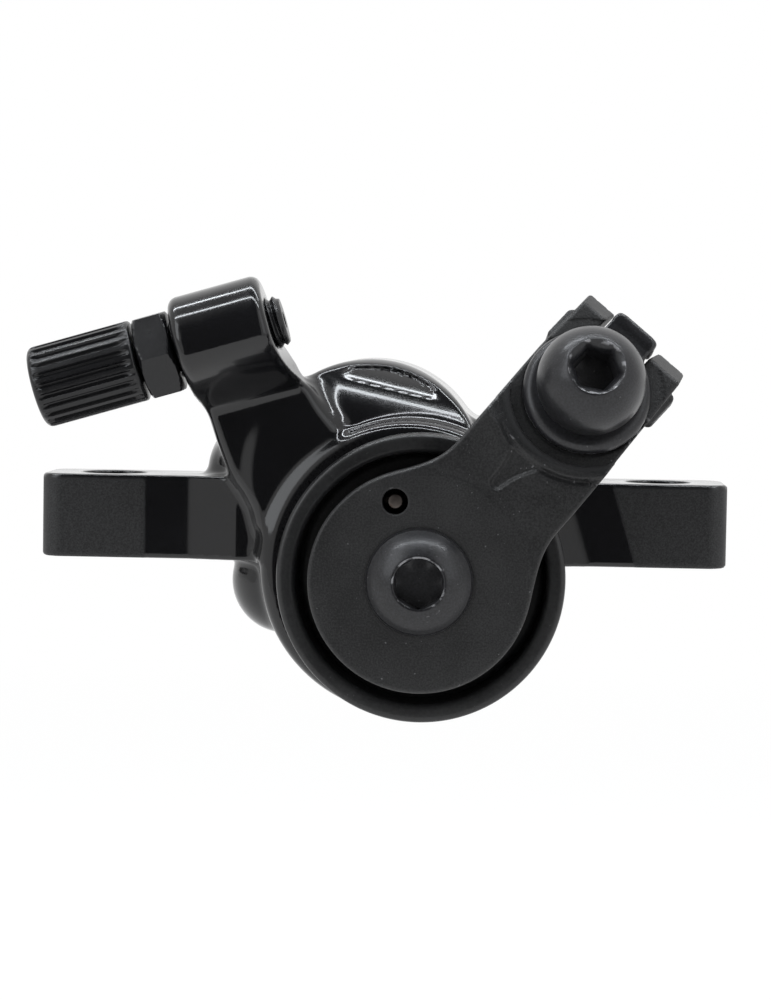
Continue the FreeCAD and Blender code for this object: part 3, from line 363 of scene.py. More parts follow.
def coated(name, colour, pale, rough, grain, grainDepth, metallic=0.0, coat=0.0, coatRough=0.05,
           wearAndSheenColour=None, wearAndSheenFrom=0.5, wave=0.0, specular=0.5, flecks=0.0, satin=False, bevelHighlightColour=None):
    # Paint, anodising or moulded plastic: a mottled colour, a roughness that varies, a fine grain, dust-like
    # flecks and edges painted pale, partly as wear and partly as a painted highlight along the edges.
    made, tree, shader, place = newFinish(name)
    fine = noiseOf(tree, place, grain, 2)
    cloudy = combined(tree, "ADD", noiseOf(tree, place, 90, 4), rangeOf(tree, fine, 0.3, 0.7, -0.35, 0.35))
    base = mixed(tree, rangeOf(tree, cloudy, 0.2, 0.8), colour, pale)
    roughness = rangeOf(tree, noiseOf(tree, place, 160, 5), 0.3, 0.7, *rough)
    if flecks:
        fleck = rangeOf(tree, noiseOf(tree, place, 2600, 0), 0.80, 0.86, 0, flecks)
        base = mixed(tree, fleck, base, dustColour)
    if wearAndSheenColour:
        patches = rangeOf(tree, noiseOf(tree, place, 700, 5), 0.35, 0.6)
        patches = combined(tree, "MULTIPLY", attributeOf(tree, "edgeWearAndSheen"), patches)
        base = mixed(tree, rangeOf(tree, patches, wearAndSheenFrom, min(1.0, wearAndSheenFrom + 0.25)), base, wearAndSheenColour)
    # a paler colour on the band that the attribute marks: a painted highlight
    if bevelHighlightColour:
        base = mixed(tree, attributeOf(tree, "bevelHighlight"), base, bevelHighlightColour)
    if satin:
        # where the attribute is positive the finish turns satin
        outer = rangeOf(tree, attributeOf(tree, "satin"), 0, 0.5)
        roughness = combined(tree, "ADD", roughness, combined(tree, "MULTIPLY", outer, satinRougher))
        base = mixed(tree, outer, base, mixed(tree, rangeOf(tree, fine, 0.3, 0.7), *satinColours))
        tree.links.new(rangeOf(tree, outer, 0, 1, coat, 0), shader.inputs["Coat Weight"])
    tree.links.new(base, shader.inputs["Base Color"])
    tree.links.new(roughness, shader.inputs["Roughness"])
    shader.inputs["Metallic"].default_value = metallic
    shader.inputs["Coat Weight"].default_value = coat
    shader.inputs["Coat Roughness"].default_value = coatRough
    shader.inputs["Specular IOR Level"].default_value = specular
    heights = [(fine, grainDepth)]
    if wave:
        heights.append((noiseOf(tree, place, 420, 2), wave))
    bumped(tree, shader, heights)
    return made


def machined(name, colour, dark, rough, lines, lineDepth, along=(1, 1, 1), spots=0.0):
    # Bare metal: tool lines drawn out along one axis, which the roughness follows, stains and rusty spots.
    made, tree, shader, place = newFinish(name)
    drawn = noiseOf(tree, place, lines, 3, along)
    base = mixed(tree, rangeOf(tree, noiseOf(tree, place, 140, 6), 0.35, 0.7), colour, dark)
    if spots:
        rust = rangeOf(tree, noiseOf(tree, place, 900, 4), 0.62, 0.72, 0, spots)
        base = mixed(tree, rust, base, rustColour)
    tree.links.new(base, shader.inputs["Base Color"])
    tree.links.new(rangeOf(tree, drawn, 0.3, 0.7, *rough), shader.inputs["Roughness"])
    shader.inputs["Metallic"].default_value = 1.0
    bumped(tree, shader, [(drawn, lineDepth)])
    return made


glossBlack = coated("gloss_black_paint", (0.0045, 0.0045, 0.005), (0.007, 0.007, 0.008), (0.10, 0.2), 5200,
                    0.000004, coat=0.4, coatRough=0.05, wave=0.00002, specular=0.35, satin=True)
# satin arm finish; its paler ring on the seat's bevel is a painted highlight
# the arm's pale edges are wear together with a painted edge highlight
satinBlack = coated("satin_black_coat", (0.002, 0.002, 0.0025), (0.0175, 0.0175, 0.018), (0.42, 0.56), 4200,
                    0.00004, wearAndSheenColour=(0.17, 0.17, 0.175), wearAndSheenFrom=0.35, flecks=0.25,
                    bevelHighlightColour=(0.035, 0.035, 0.036))
ringBlack = coated("matt_black_moulding", (0.008, 0.008, 0.0085), (0.016, 0.016, 0.0165), (0.28, 0.4), 3000,
                   0.00001, flecks=0.1)
boltBlack = coated("black_oxide_steel", (0.013, 0.013, 0.014), (0.024, 0.024, 0.027), (0.28, 0.38), 3600,
                   0.000014, metallic=0.35, wearAndSheenColour=(0.25, 0.25, 0.26), wearAndSheenFrom=0.42, flecks=0.15,
                   coat=0.15, coatRough=0.14)
anodised = coated("black_anodised", (0.007, 0.007, 0.008), (0.013, 0.013, 0.014), (0.2, 0.3), 3800, 0.00001,
                  metallic=0.2, wearAndSheenColour=(0.16, 0.16, 0.17), wearAndSheenFrom=0.6)
brightSteel = machined("machined_steel", (0.56, 0.56, 0.57), (0.42, 0.42, 0.44), (0.2, 0.38), 900, 0.00001)
springSteel = machined("spring_wire", (0.15, 0.132, 0.12), (0.08, 0.068, 0.062), (0.3, 0.5), 1400, 0.00001,
                       spots=0.5)
brassMetal = machined("turned_brass", (0.72, 0.52, 0.22), (0.5, 0.34, 0.13), (0.22, 0.4), 1200, 0.00001,
                      along=(0.2, 3, 0.2))
rubberBlack = coated("seal_rubber", (0.012, 0.012, 0.012), (0.02, 0.02, 0.02), (0.6, 0.75), 2000, 0.00002)
liningGrey = coated("sintered_lining", (0.06, 0.052, 0.045), (0.2, 0.17, 0.13), (0.7, 0.9), 1500, 0.00012,
                    flecks=0.8)
print("finishes made")


# Outboard casting with the ears, the boss, the dome and the lug of the cable stop. Each rod has its centre's
# x and z, its radius, its front and back and the round of its edges.

far = 99.0
casting = {
    "step": 0.42, "pivot": (5.55, -1.1), "slotFront": 12.3, "slotBack": 17.7, "innerBack": 27.2,
    "boss": (3.45, -0.4, 19.6, -11.5, 12.3, 2.1), "dome": (-2.0, 11.8, 15.4, -9.5, 17.7, 0.8),
    "lobe": (-13.3, -3.0, 7.3, -7.5, 12.3, 6.9), "shoulder": (-15.4, 11.4, 8.8, -4.0, 12.3, 4.0),
    "bolts": (-11.45, 22.55), "boltHeight": 15.5, "boltBoss": 6.3, "boltFront": -2.0, "boltEdges": (1.0, 2.5),
    "bridge": ((-2.0, 22.55), (-2.0, 17.7), (0.0, 19.0)), "bridgeEdges": (0.5, 1.0),
    # the dome's front top is one long round ridge that falls to the right, with a flat dish above it
    "ridgeSlope": math.radians(12.7), "ridgeSoft": 8.0, "bevelTilt": math.radians(60),
    "bevelAt": (-6.0, 23.1), "dishInset": 1.2, "dishFrom": 23.2, "dishDeep": 0.45, "dishEdges": (1.5, 0.8),
    "hollow": ((-4.6, -11.9, 18.0), 3.2, 1.0),
    # the cuts: the rotor's centre height, radius and back; the post holes; the holes of stud and screws
    "rotor": (-70.0, 82.5, 19.0), "posts": (37.0, 4.3), "studHole": 3.45, "boltHole": (3.05, 3.0),
    "cutEdge": 0.35,
    # bores round the pivot: outer and inner radius, front and back
    "bores": ((12.35, -far, -5.3, far), (7.21, -far, -far, 0.0), (13.0, 8.2, -far, -8.0),
              (19.3, -far, -far, -11.5)),
}
ears = {
    "cornerX": 43.3, "cornerY": 4.2, "round": 2.8, "half": 7.0, "top": 11.2, "root": 15.0, "edge": 0.5,
    "rampFrom": 26.2, "rampSlope": 0.22, "rampRise": 6.7, "rampSoft": 0.3, "lean": 0.3, "leanFrom": 6.6,
    "satinFrom": 31.7, "satinTop": 11.0,
}
stem = {
    "lugCentre": (-20.6, -15.0, 30.0), "lugRadius": 6.7, "end": 30.0, "floor": 0.4,
    # how far down from the cable, and there the left, right, front and back face of lug and stem
    "down": (-7, 1.4, 2.6, 3.8, 5, 6.5, 8.3, 9.5, 13, 17.5, 23, 27, 31),
    "left": (-6.25, -6.25, -6.25, -6.25, -6.25, -6.2, -5.8, -5.6, -5.5, -5.2, -3.2, -3.6, -6.0),
    "right": (6.25, 6.25, 6.25, 6.3, 6.4, 6.7, 7.6, 8.6, 9.6, 11.5, 13.8, 14.5, 15),
    "front": (6.7, 6.7, 6.0, 4.8, 3.1, 0.4, -4.1, -4.75, -4.8, -4.9, -5.0, -5.0, -5.0),
    "back": (-6.7, -6.7, -6.7, -6.7, -6.9, -7.6, -9.0, -10.6, -12.5, -16.5, -20, -20, -20),
    # window of the rounding in points of 0.1 mm; then amount, start and run of each change on the way down
    "window": 27, "ease": (0.15, 0.0, 3.0), "draft": (0.13, 2.0, 4.0), "edge": 1.3,
    "edgeMore": (0.3, 6.0, 10.0),
}


def softTable(down, values):
    # the table's straight runs with their corners rounded off
    fine = np.arange(stem["down"][0] - 3, stem["down"][-1] + 3, 0.1)
    window = np.hanning(stem["window"])
    line = np.pad(np.interp(fine, stem["down"], values), len(window) // 2, mode="edge")
    return np.interp(down, fine, np.convolve(line, window / window.sum(), mode="valid"))


def earReach(p):
    # how far out along the ear, counted along lines that lean over on the right one
    return np.abs(p[..., 0]) + np.where(p[..., 0] > 0, ears["lean"] * (p[..., 2] - ears["leanFrom"]), 0)


def earField(p):
    # Plate with rounded corners in plan, whose front face ramps forward towards the boss.
    g = ears
    x, y, z = p[..., 0], p[..., 1], p[..., 2]
    cornerX, cornerY = np.abs(x) - g["cornerX"], np.abs(y) - g["cornerY"]
    plan = np.hypot(np.maximum(cornerX, 0), np.maximum(cornerY, 0))
    plan = plan + np.minimum(np.maximum(cornerX, cornerY), 0) - g["round"]
    inward = g["rampFrom"] - earReach(p)
    ramp = g["rampSlope"] * np.minimum((inward + np.sqrt(inward ** 2 + g["rampSoft"])) / 2, g["rampRise"])
    plan = np.maximum(plan - ramp, np.where(y < 0, -g["half"] - ramp - y, y - g["half"]))
    return np.maximum(both(plan, slab(z, 0, g["top"]), g["edge"]), g["root"] - np.abs(x))


def domeField(p):
    # Round rod whose front and top meet in a long ridge. Over the ridge it is bevelled, and a dish as wide as
    # the rod leaves a narrow rim round the bevel.
    g = casting
    x, z, radius, front, back, edge = g["dome"]
    height = p[..., 0] * math.sin(g["ridgeSlope"]) + p[..., 2] * math.cos(g["ridgeSlope"])
    depth, level = g["bevelAt"]
    bevel = (height - level) * math.sin(g["bevelTilt"]) - (p[..., 1] - depth) * math.cos(g["bevelTilt"])
    ridge = both(front - p[..., 1], bevel, g["ridgeSoft"])
    around = np.hypot(p[..., 0] - x, p[..., 2] - z) - radius
    made = both(both(around, p[..., 1] - back, edge), ridge, edge)
    wall, lip = g["dishEdges"]
    dish = both(around + g["dishInset"], g["dishFrom"] - height, wall)
    made = carved(made, np.maximum(dish, -bevel - g["dishDeep"]), lip)
    centre, radius, soft = g["hollow"]
    return carved(made, np.linalg.norm(p - np.array(centre), axis=-1) - radius, soft)


def changing(down, change):
    # grows from nothing to its amount
    amount, start, run = change
    return amount * np.clip((down - start) / run, 0, 1)


def stemField(p):
    # Lug of the cable stop and the stem under it, one plate square to the cable: round over the cable, and
    # below it the faces follow the table above.
    g = stem
    q = toLocal(p, (np.array(g["lugCentre"]), cablePlace[1]))
    down = -q[..., 2]
    left, right, front, back = (softTable(down, g[side]) for side in ("left", "right", "front", "back"))
    flat = np.maximum(q[..., 0] - front, back - q[..., 0]) * (1 - changing(down, g["ease"]))
    section = np.where(down < 0, np.hypot(q[..., 0], down) - g["lugRadius"], flat)
    section = np.maximum(section, np.maximum(down - g["end"], g["floor"] - p[..., 2]))
    right = right + changing(down, g["draft"]) * np.maximum(front - q[..., 0], 0)
    edge = g["edge"] + changing(down, g["edgeMore"])
    return both(section, np.maximum(left - q[..., 1], q[..., 1] - right), edge)


def castingField(p):
    g = casting
    x, y, z = p[..., 0], p[..., 1], p[..., 2]
    spanX, spanY, spanZ = (slab(values, *span) for values, span in zip((x, y, z), g["bridge"]))
    bridge = both(both(spanX, spanZ, g["bridgeEdges"][0]), spanY, g["bridgeEdges"][1])
    # each solid with the fillet that leads into it
    solids = [(rodField(p, *g["lobe"]), 3), (rodField(p, *g["shoulder"]), 2), (stemField(p), 2.6)]
    for boltX, edge in zip(g["bolts"], g["boltEdges"]):
        boltRod = (boltX, g["boltHeight"], g["boltBoss"], g["boltFront"], g["slotBack"], edge)
        solids.append((rodField(p, *boltRod), 2))
    solids += [(bridge, 2), (earField(p), 1.5), (rodField(p, *g["boss"]), 1.2)]
    made = domeField(p)
    for solid, fillet in solids:
        made = joined(made, solid, fillet)
    made = np.maximum(made, y - g["slotBack"])
    pivotX, pivotZ = g["pivot"]
    around = np.hypot(x - pivotX, z - pivotZ)
    rotorZ, rotorRadius, rotorBack = g["rotor"]
    cuts = [np.maximum(np.hypot(x - pivotX, z - rotorZ) - rotorRadius, slab(y, g["slotFront"], rotorBack))]
    for outer, inside, front, back in g["bores"]:
        cuts.append(np.maximum(np.maximum(around - outer, inside - around), np.maximum(front - y, y - back)))
    postX, postRadius = g["posts"]
    q = toLocal(p, cablePlace)
    cuts += [np.hypot(np.abs(x) - postX, y) - postRadius, np.hypot(q[..., 0], q[..., 2]) - g["studHole"]]
    holeRadius, holeFront = g["boltHole"]
    for boltX in g["bolts"]:
        cuts.append(np.maximum(np.hypot(x - boltX, z - g["boltHeight"]) - holeRadius, holeFront - y))
    for tool in cuts:
        made = carved(made, tool, g["cutEdge"])
    return made


def earSatin(p):
    # positive on the outer part of the ears, except on their top
    return np.minimum(earReach(p) - ears["satinFrom"], ears["satinTop"] - p[..., 2])


putSkin("castingSkin", castingField, (-47, -22, -21), (47, 18.2, 38), casting["step"], glossBlack,
        "caliper", ("caliper_body",), zones={"satin": earSatin})


# Inboard casting

inner = {
    "step": 0.5, "disc": (5.55, -1.1, 18.0), "dome": (-2.0, 11.8, 14.6), "edge": 1.5, "cutEdge": 0.3,
    "bridge": ((-2.0, 22.55), (-1.1, 19.0)), "screwRoom": 5.45, "padRoom": (12.35, 23.6), "boltRoom": 3.15,
    "headRoom": (5.3, 24.0),
}


def discField(x, z, disc):
    return np.hypot(x - disc[0], z - disc[1]) - disc[2]


def innerField(p):
    g = inner
    x, y, z = p[..., 0], p[..., 1], p[..., 2]
    front, back, edge = casting["slotBack"], casting["innerBack"], g["cutEdge"]
    plan = joined(discField(x, z, g["disc"]), discField(x, z, g["dome"]), 1.5)
    for boltX in casting["bolts"]:
        plan = joined(plan, discField(x, z, (boltX, casting["boltHeight"], casting["boltBoss"])), 2)
    spanX, spanZ = g["bridge"]
    plan = joined(plan, both(slab(x, *spanX), slab(z, *spanZ), 0.3), 2)
    # the round of the edge stays behind the slot, so the front is cut off flat
    made = np.maximum(both(plan, slab(y, front - 8, back), g["edge"]), front - y)
    around = discField(x, z, (*casting["pivot"], 0))
    padRadius, padEnd = g["padRoom"]
    made = carved(made, np.maximum(around - padRadius, y - padEnd), edge)
    made = carved(made, around - g["screwRoom"], edge)
    headRadius, headSeat = g["headRoom"]
    for boltX in casting["bolts"]:
        beside = discField(x, z, (boltX, casting["boltHeight"], 0))
        head = np.maximum(beside - headRadius, headSeat - y)
        made = carved(made, np.minimum(beside - g["boltRoom"], head), edge)
    return made


putSkin("innerCastingSkin", innerField, (-18.5, 17, -19.8), (29.5, 27.6, 27), inner["step"], glossBlack,
        "caliper", ("inner_body",))


# Cover ring round the arm's hub: a rounded lip outside, a deep channel and a spigot in the casting's pocket

ring = {"outer": 18.9, "lip": 16.4, "front": -18.2, "back": -11.5, "floor": -12.7, "hole": 12.25,
        "spigot": 12.95, "spigotEnd": -10.0, "edge": 0.85, "sides": 256}


def coverRing():
    g = ring
    hole, lip, outer, spigot = g["hole"], g["lip"], g["outer"], g["spigot"]
    corners = [(hole, g["floor"] + 0.3), (hole, g["floor"]), (lip - 0.25, g["floor"]), (lip, g["front"]),
               (outer, g["front"]), (outer, g["back"]), (spigot, g["back"]), (spigot, g["spigotEnd"]),
               (hole, g["spigotEnd"]), (hole, g["floor"] + 0.3)]
    profile = softLine(corners, g["edge"], 6)
    points, faces = spun(profile[:, 0], profile[:, 1], hubPlace, g["sides"])
    putMesh("coverRing", points, faces, ringBlack, "caliper", ("spring_cover",), sharp=40)


coverRing()


# Arm: a hub and a long plate whose tip is tilted back, with a stepped seat for the clamp

arm = {
    "step": 0.27, "hub": 14.4, "front": -23.0, "plateBack": -18.6, "hubBack": -16.2, "edge": 0.45,
    # the left and the right side: where each starts to narrow, where that ends, and the distances there
    "leftSide": ((33, 42.4), (8.15, 7.6)), "rightSide": ((20, 42.4), (9.2, 8.7)), "length": 43.5, "neck": 4.5,
    "flatEnd": 28.5, "tiltFrom": 24, "tiltThick": 4.4, "tipMargin": 9.1, "endSlant": math.radians(33.39),
    # round the clamp's screw: a step, a trench inside it and a bevel outside it, on which a paler ring
    # is painted as a highlight. The bevel's cut is a cone that wrongly runs on inwards and hollows the plate
    # under the washer.
    "seatStep": 9.9, "trench": (8.0, 1.3), "bevel": (9.9, 0.3, math.radians(33)), "bevelEnd": 2.5,
    "bevelHighlightRing": (10.4, 0.5), "crease": (11.5, 0.4, 0.6), "sunk": (0.2, 1.2), "pinchHole": 2.55,
    "lipAlong": (2.8, 8.0), "lipDeep": (1.7, 4.1), "lipSpans": ((5.5, 9.4), (-8.8, -5.5)),
    "notch": (8.0, 0.9, 3.8), "bore": (5.45, 4.05), "window": (-3.28, 10.29, 1.65),
}
tongue = {"start": (16.2, 0.9), "end": (21.2, 0.3), "small": 0.8, "large": 2.4, "flare": 1.7, "deep": 0.5,
          "wall": 0.7, "cut": 21.6, "cutSoft": 0.8, "overCrease": 0.8}


def armPlan(a, c):
    # the hub disc and the long plate, led into each other by hollow necks
    leftSide, rightSide = np.interp(a, *arm["leftSide"]), np.interp(a, *arm["rightSide"])
    strip = np.maximum(np.maximum(c - leftSide, -c - rightSide), np.maximum(-a, a - arm["length"]))
    return joined(np.hypot(a, c) - arm["hub"], strip, arm["neck"])


def armRelief(a, c):
    # how deep the front face lies: sunk round the seat, in a crease round that, and in a tongue across them
    around = np.hypot(a - seatOnArm[0], c - seatOnArm[2])
    radius, wide, deep = arm["crease"]
    sunk, run = arm["sunk"]
    depth = deep * np.exp(-((around - radius) / wide) ** 2) + sunk * np.clip((radius - around) / run, 0, 1)
    g = tongue
    start, along = np.array(g["start"]), np.subtract(g["end"], g["start"])
    share = np.clip(((a - start[0]) * along[0] + (c - start[1]) * along[1]) / (along ** 2).sum(), 0, 1)
    off = np.hypot(a - start[0] - share * along[0], c - start[1] - share * along[1]) - g["small"]
    off -= (g["large"] - g["small"]) * share ** g["flare"]
    within = np.clip(0.5 - off / g["wall"], 0, 1) * np.clip((g["cut"] - a) / g["cutSoft"], 0, 1)
    pressed = g["deep"] * within * within * (3 - 2 * within)
    return np.maximum(depth * (1 - g["overCrease"] * within), pressed)


def armField(q):
    # q is in the arm's own frame: along it, back towards the casting, and across to its left side
    g = arm
    a, b, c = q[..., 0], q[..., 1], q[..., 2]
    plan = armPlan(a, c)
    s = toLocal(toRow(q, armPlace), seatPlace)
    along, deep, across = s[..., 0], s[..., 1], s[..., 2]
    flat = both(plan, slab(b, g["front"], g["plateBack"]), g["edge"])
    flat = np.maximum(np.maximum(flat, g["front"] + armRelief(a, c) - b), a - g["flatEnd"])
    tilted = np.maximum(both(plan, slab(deep, 0, g["tiltThick"]), g["edge"]), g["tiltFrom"] - a)
    hub = both(np.hypot(a, c) - g["hub"], slab(b, g["front"], g["hubBack"]), g["edge"])
    made = joined(np.minimum(flat, tilted), hub, 0.3)
    for span in g["lipSpans"]:
        lip = both(slab(along, *g["lipAlong"]), slab(across, *span), 0.8)
        made = joined(made, both(lip, slab(deep, *g["lipDeep"]), 0.4), 0.3)
    fromScrew = np.hypot(along, across)
    made = carved(made, np.maximum(fromScrew - g["seatStep"], deep), 0.3)
    inside, floor = g["trench"]
    trench = np.maximum(slab(fromScrew, inside, g["seatStep"]), deep - floor)
    start, level, slope = g["bevel"]
    bevel = (fromScrew - start) * math.sin(slope) + (deep - level) * math.cos(slope)
    made = carved(made, np.maximum(np.minimum(trench, bevel), along - g["bevelEnd"]), 0.25)
    made = carved(made, fromScrew - g["pinchHole"], 0.2)
    reach, aside, half = g["notch"]
    made = carved(made, np.maximum(reach - along, np.abs(across - aside) - half), 0.35)
    end = (along - g["tipMargin"]) * math.cos(g["endSlant"]) - deep * math.sin(g["endSlant"])
    made = both(made, end, 0.3)
    bore, flats = g["bore"]
    made = carved(made, np.maximum(np.hypot(a, c) - bore, np.abs(c) - flats), 0.2)
    x, z, radius = g["window"]
    turned = toRow(q, armPlace) - pivot
    return carved(made, np.hypot(turned[..., 0] - x, turned[..., 2] - z) - radius, 0.25)


def onArm(points):
    return armField(toLocal(points, armPlace))


def armSkin():
    # the grid follows the arm's own frame, so that its faces lie square to the cells
    points, faces = skinOf(armField, (-14.6, -23.2, -14.6), (43, -9.5, 14.6), arm["step"])
    points = toRow(points, armPlace)
    normals, edgeWearAndSheen = facing(onArm, points, 0.05, 0.45)
    s = toLocal(points, seatPlace)
    # a paler ring on the bevel outside the seat's step, painted as a highlight
    middle, wide = arm["bevelHighlightRing"]
    onBevel = (s[:, 1] < 0.6) & (s[:, 0] < 0)
    bevelHighlight = np.exp(-((np.hypot(s[:, 0], s[:, 2]) - middle) / wide) ** 2) * onBevel
    print("arm:", len(points), "points")
    putMesh("armPlate", points, faces, satinBlack, "arm", ("actuator_arm",), normals=normals,
            extra={"edgeWearAndSheen": edgeWearAndSheen, "bevelHighlight": bevelHighlight})


armSkin()


# Screws: button head in the hub, ball head at the tip, both with a worn hexagon socket

armBolt = {"radius": 7.1, "height": 3.8, "rim": 3.6, "socket": 3.0, "floor": -23.6, "drill": 2.85,
           "drillEnd": -23.5, "shank": 2.9, "shankEnd": -13.0, "sides": 192}
pinchBolt = {"ball": 7.0, "base": 3.4, "top": 5.9, "socket": 2.5, "socketDepth": 4.2, "drill": 2.3,
             "washer": 1.5, "under": 5.6, "shank": 2.5, "shankEnd": 7.5, "sides": 192}


def socketRows(mouth, top, socket, floor, drill, drillEnd, sides, turned, step):
    # rows from the chamfered mouth down the walls of a hexagon with blunt corners, to a drilled middle
    angle = np.linspace(0, 2 * math.pi, sides, endpoint=False)
    hexagon = np.minimum(socket * hexReach(angle, turned), socket * 1.13)
    flat = np.ones(sides)
    return [(mouth * flat, top), ((mouth - 0.22) * flat, top + step * 0.5),
            (hexagon + 0.28, top + step * 2.0), (hexagon + 0.06, top + step * 3.2),
            (hexagon, top + step * 4.6), (hexagon, floor - 0.15), (hexagon - 0.1, floor),
            (drill * flat, floor + 0.02), (drill * flat * 0.5, (floor + drillEnd) / 2),
            (flat * 0.001, drillEnd)]


def boltMesh(name, outside, inside, place, sides, stands, wearAndSheenRows):
    rows = [(np.full(sides, r), h) for r, h in outside] + inside
    radii = np.stack([r for r, h in rows])
    heights = np.array([h for r, h in rows])
    points, faces = spun(radii, heights, place, sides)
    edgeWearAndSheen = np.zeros(radii.shape)
    for row, amount in wearAndSheenRows.items():
        edgeWearAndSheen[len(outside) + row] = amount
    putMesh(name, points, faces, boltBlack, "arm", stands, sharp=38, extra={"edgeWearAndSheen": edgeWearAndSheen})


def buttonScrew():
    g = armBolt
    front = arm["front"]
    crown = (g["radius"] ** 2 + g["height"] ** 2) / (2 * g["height"])
    lift = np.linspace(0, 1, 18)
    radius = g["radius"] + (g["rim"] - g["radius"]) * lift
    height = front - (np.sqrt(crown ** 2 - radius ** 2) - (crown - g["height"]))
    outside = [(0.001, g["shankEnd"]), (g["shank"], g["shankEnd"]), (g["shank"], front - 0.05),
               (g["radius"] - 0.9, front - 0.05), (g["radius"] - 0.15, front - 0.35)]
    outside += [(r, min(h, front - 0.6)) for r, h in zip(radius[1:], height[1:])]
    top = height[-1]
    inside = socketRows(g["rim"] - 0.1, top - 0.02, g["socket"], g["floor"], g["drill"], g["drillEnd"],
                        g["sides"], math.radians(30), 0.16)
    edgeWearAndSheen = {0: 0.7, 1: 0.75, 2: 0.6, 3: 0.2}
    boltMesh("armBolt", outside, inside, hubPlace, g["sides"], ("arm_bolt",), edgeWearAndSheen)


def ballScrew():
    g = pinchBolt
    under = -g["washer"]
    middle = under - g["base"]
    low, high = math.asin(-g["base"] / g["ball"]), math.asin(g["top"] / g["ball"])
    tilt = np.linspace(low, high, 40)
    outside = [(0.001, g["shankEnd"]), (g["shank"], g["shankEnd"]), (g["shank"], under + 0.1),
               (g["under"], under + 0.05)]
    outside += [(g["ball"] * math.cos(t), middle - g["ball"] * math.sin(t)) for t in tilt]
    mouth, top = outside[-1]
    floor = top + g["socketDepth"]
    inside = socketRows(mouth - 0.12, top - 0.03, g["socket"], floor, g["drill"], floor + 0.1,
                        g["sides"], 0.0, 0.34)
    edgeWearAndSheen = {0: 0.75, 1: 0.65, 2: 0.1}
    boltMesh("pinchBolt", outside, inside, seatPlace, g["sides"], ("pinch_bolt",), edgeWearAndSheen)


buttonScrew()
ballScrew()


# Washer of the clamp: its tab runs out over the arm's tip and hooks down into the notch

washer = {"step": 0.22, "radius": 8.35, "height": 1.5, "rim": 1.4, "tabReach": 10.9, "tabSpan": (-2.6, 3.9),
          "hookDrop": 3.2, "edge": 0.3, "corner": 1.3, "hole": 2.6}


def washerField(s):
    g = washer
    along, deep, across = s[..., 0], s[..., 1], s[..., 2]
    thick, reach, span = g["height"], g["tabReach"], slab(across, *g["tabSpan"])
    disc = both(np.hypot(along, across) - g["radius"], slab(deep, -thick, thick), g["rim"])
    disc = np.maximum(disc, deep)
    tab = both(both(slab(along, 0, reach), span, g["corner"]), slab(deep, -thick, 0), g["edge"])
    hook = both(slab(along, reach - thick, reach), slab(deep, -thick, g["hookDrop"]), 0.6)
    hook = both(hook, span, 0.5)
    made = joined(disc, joined(tab, hook, 0.6), 0.8)
    return carved(made, np.hypot(along, across) - g["hole"], 0.2)


def washerSkin():
    points, faces = skinOf(washerField, (-8.6, -1.9, -8.6), (11.2, 3.5, 8.6), washer["step"])
    normals, edgeWearAndSheen = facing(washerField, points, 0.05, 0.35)
    putMesh("clampWasher", toRow(points, seatPlace), faces, boltBlack, "arm",
            ("clamp_washer",), normals=normals @ seatPlace[1], extra={"edgeWearAndSheen": edgeWearAndSheen})


washerSkin()


# Adjuster of the cable: fluted knob, threaded stud and hexagon nut in a row along the cable

adjuster = {
    "knobFront": -25.75, "knobBack": -11.75, "knobRadius": 5.4, "knobSides": 384, "round": 0.9, "flutes": 24,
    "fluteDepth": 0.5, "fluteWide": 0.62, "fluteSteep": 1.6, "fluteStart": 0.55, "fluteRun": 0.8,
    "housingBore": 2.6, "housingEnd": -17.75, "wireBore": 1.1, "studSeat": 1.5,
    "nutFront": -11.35, "nutBack": -6.75, "nutFlats": 5.25, "nutTurned": math.radians(-3), "nutHole": 3.45,
    "studFront": -16.2, "studBack": 8.05, "studRadius": 3.4, "pitch": 1.0, "threadDepth": 0.42,
}


def fluted(radius, height):
    # radius at each angle: narrow round-bottomed flutes that run out near both ends of the knob
    g = adjuster
    angle = np.linspace(0, 2 * math.pi, g["knobSides"], endpoint=False)
    wave = 0.5 - 0.5 * np.cos(g["flutes"] * angle)
    groove = 1 - np.clip(wave / g["fluteWide"], 0, 1) ** g["fluteSteep"]
    inward = np.minimum(height - g["knobFront"], g["knobBack"] - height)
    return radius - g["fluteDepth"] * groove * np.clip((inward - g["fluteStart"]) / g["fluteRun"], 0, 1)


def knob():
    g = adjuster
    front, back, radius, edge = g["knobFront"], g["knobBack"], g["knobRadius"], g["round"]
    turn = np.linspace(0, math.pi / 2, 6)
    seat = back - g["studSeat"]
    rows = [(g["wireBore"], seat), (g["wireBore"], g["housingEnd"]), (g["housingBore"], g["housingEnd"]),
            (g["housingBore"], front + 0.25), (g["housingBore"] + 0.25, front)]
    rows += [(radius - edge + edge * math.sin(t), front + edge - edge * math.cos(t)) for t in turn]
    rows += [(radius, h) for h in np.linspace(front + edge, back - edge / 2, 22)[1:-1]]
    edge /= 2
    rows += [(radius - edge + edge * math.cos(t), back - edge + edge * math.sin(t)) for t in turn]
    rows += [(g["studRadius"], back), (g["studRadius"], seat), (g["wireBore"], seat)]
    radii = np.stack([fluted(r, h) if r > 4 else np.full(g["knobSides"], r) for r, h in rows])
    points, faces = spun(radii, np.array([h for r, h in rows]), cablePlace, g["knobSides"])
    # the crests between the flutes are worn
    edgeWearAndSheen = np.clip((radii - radius + 0.12) / 0.12, 0, 1) * 0.55
    putMesh("barrelKnob", points, faces, anodised, "barrel", ("barrel_knob",), sharp=42,
            extra={"edgeWearAndSheen": edgeWearAndSheen})


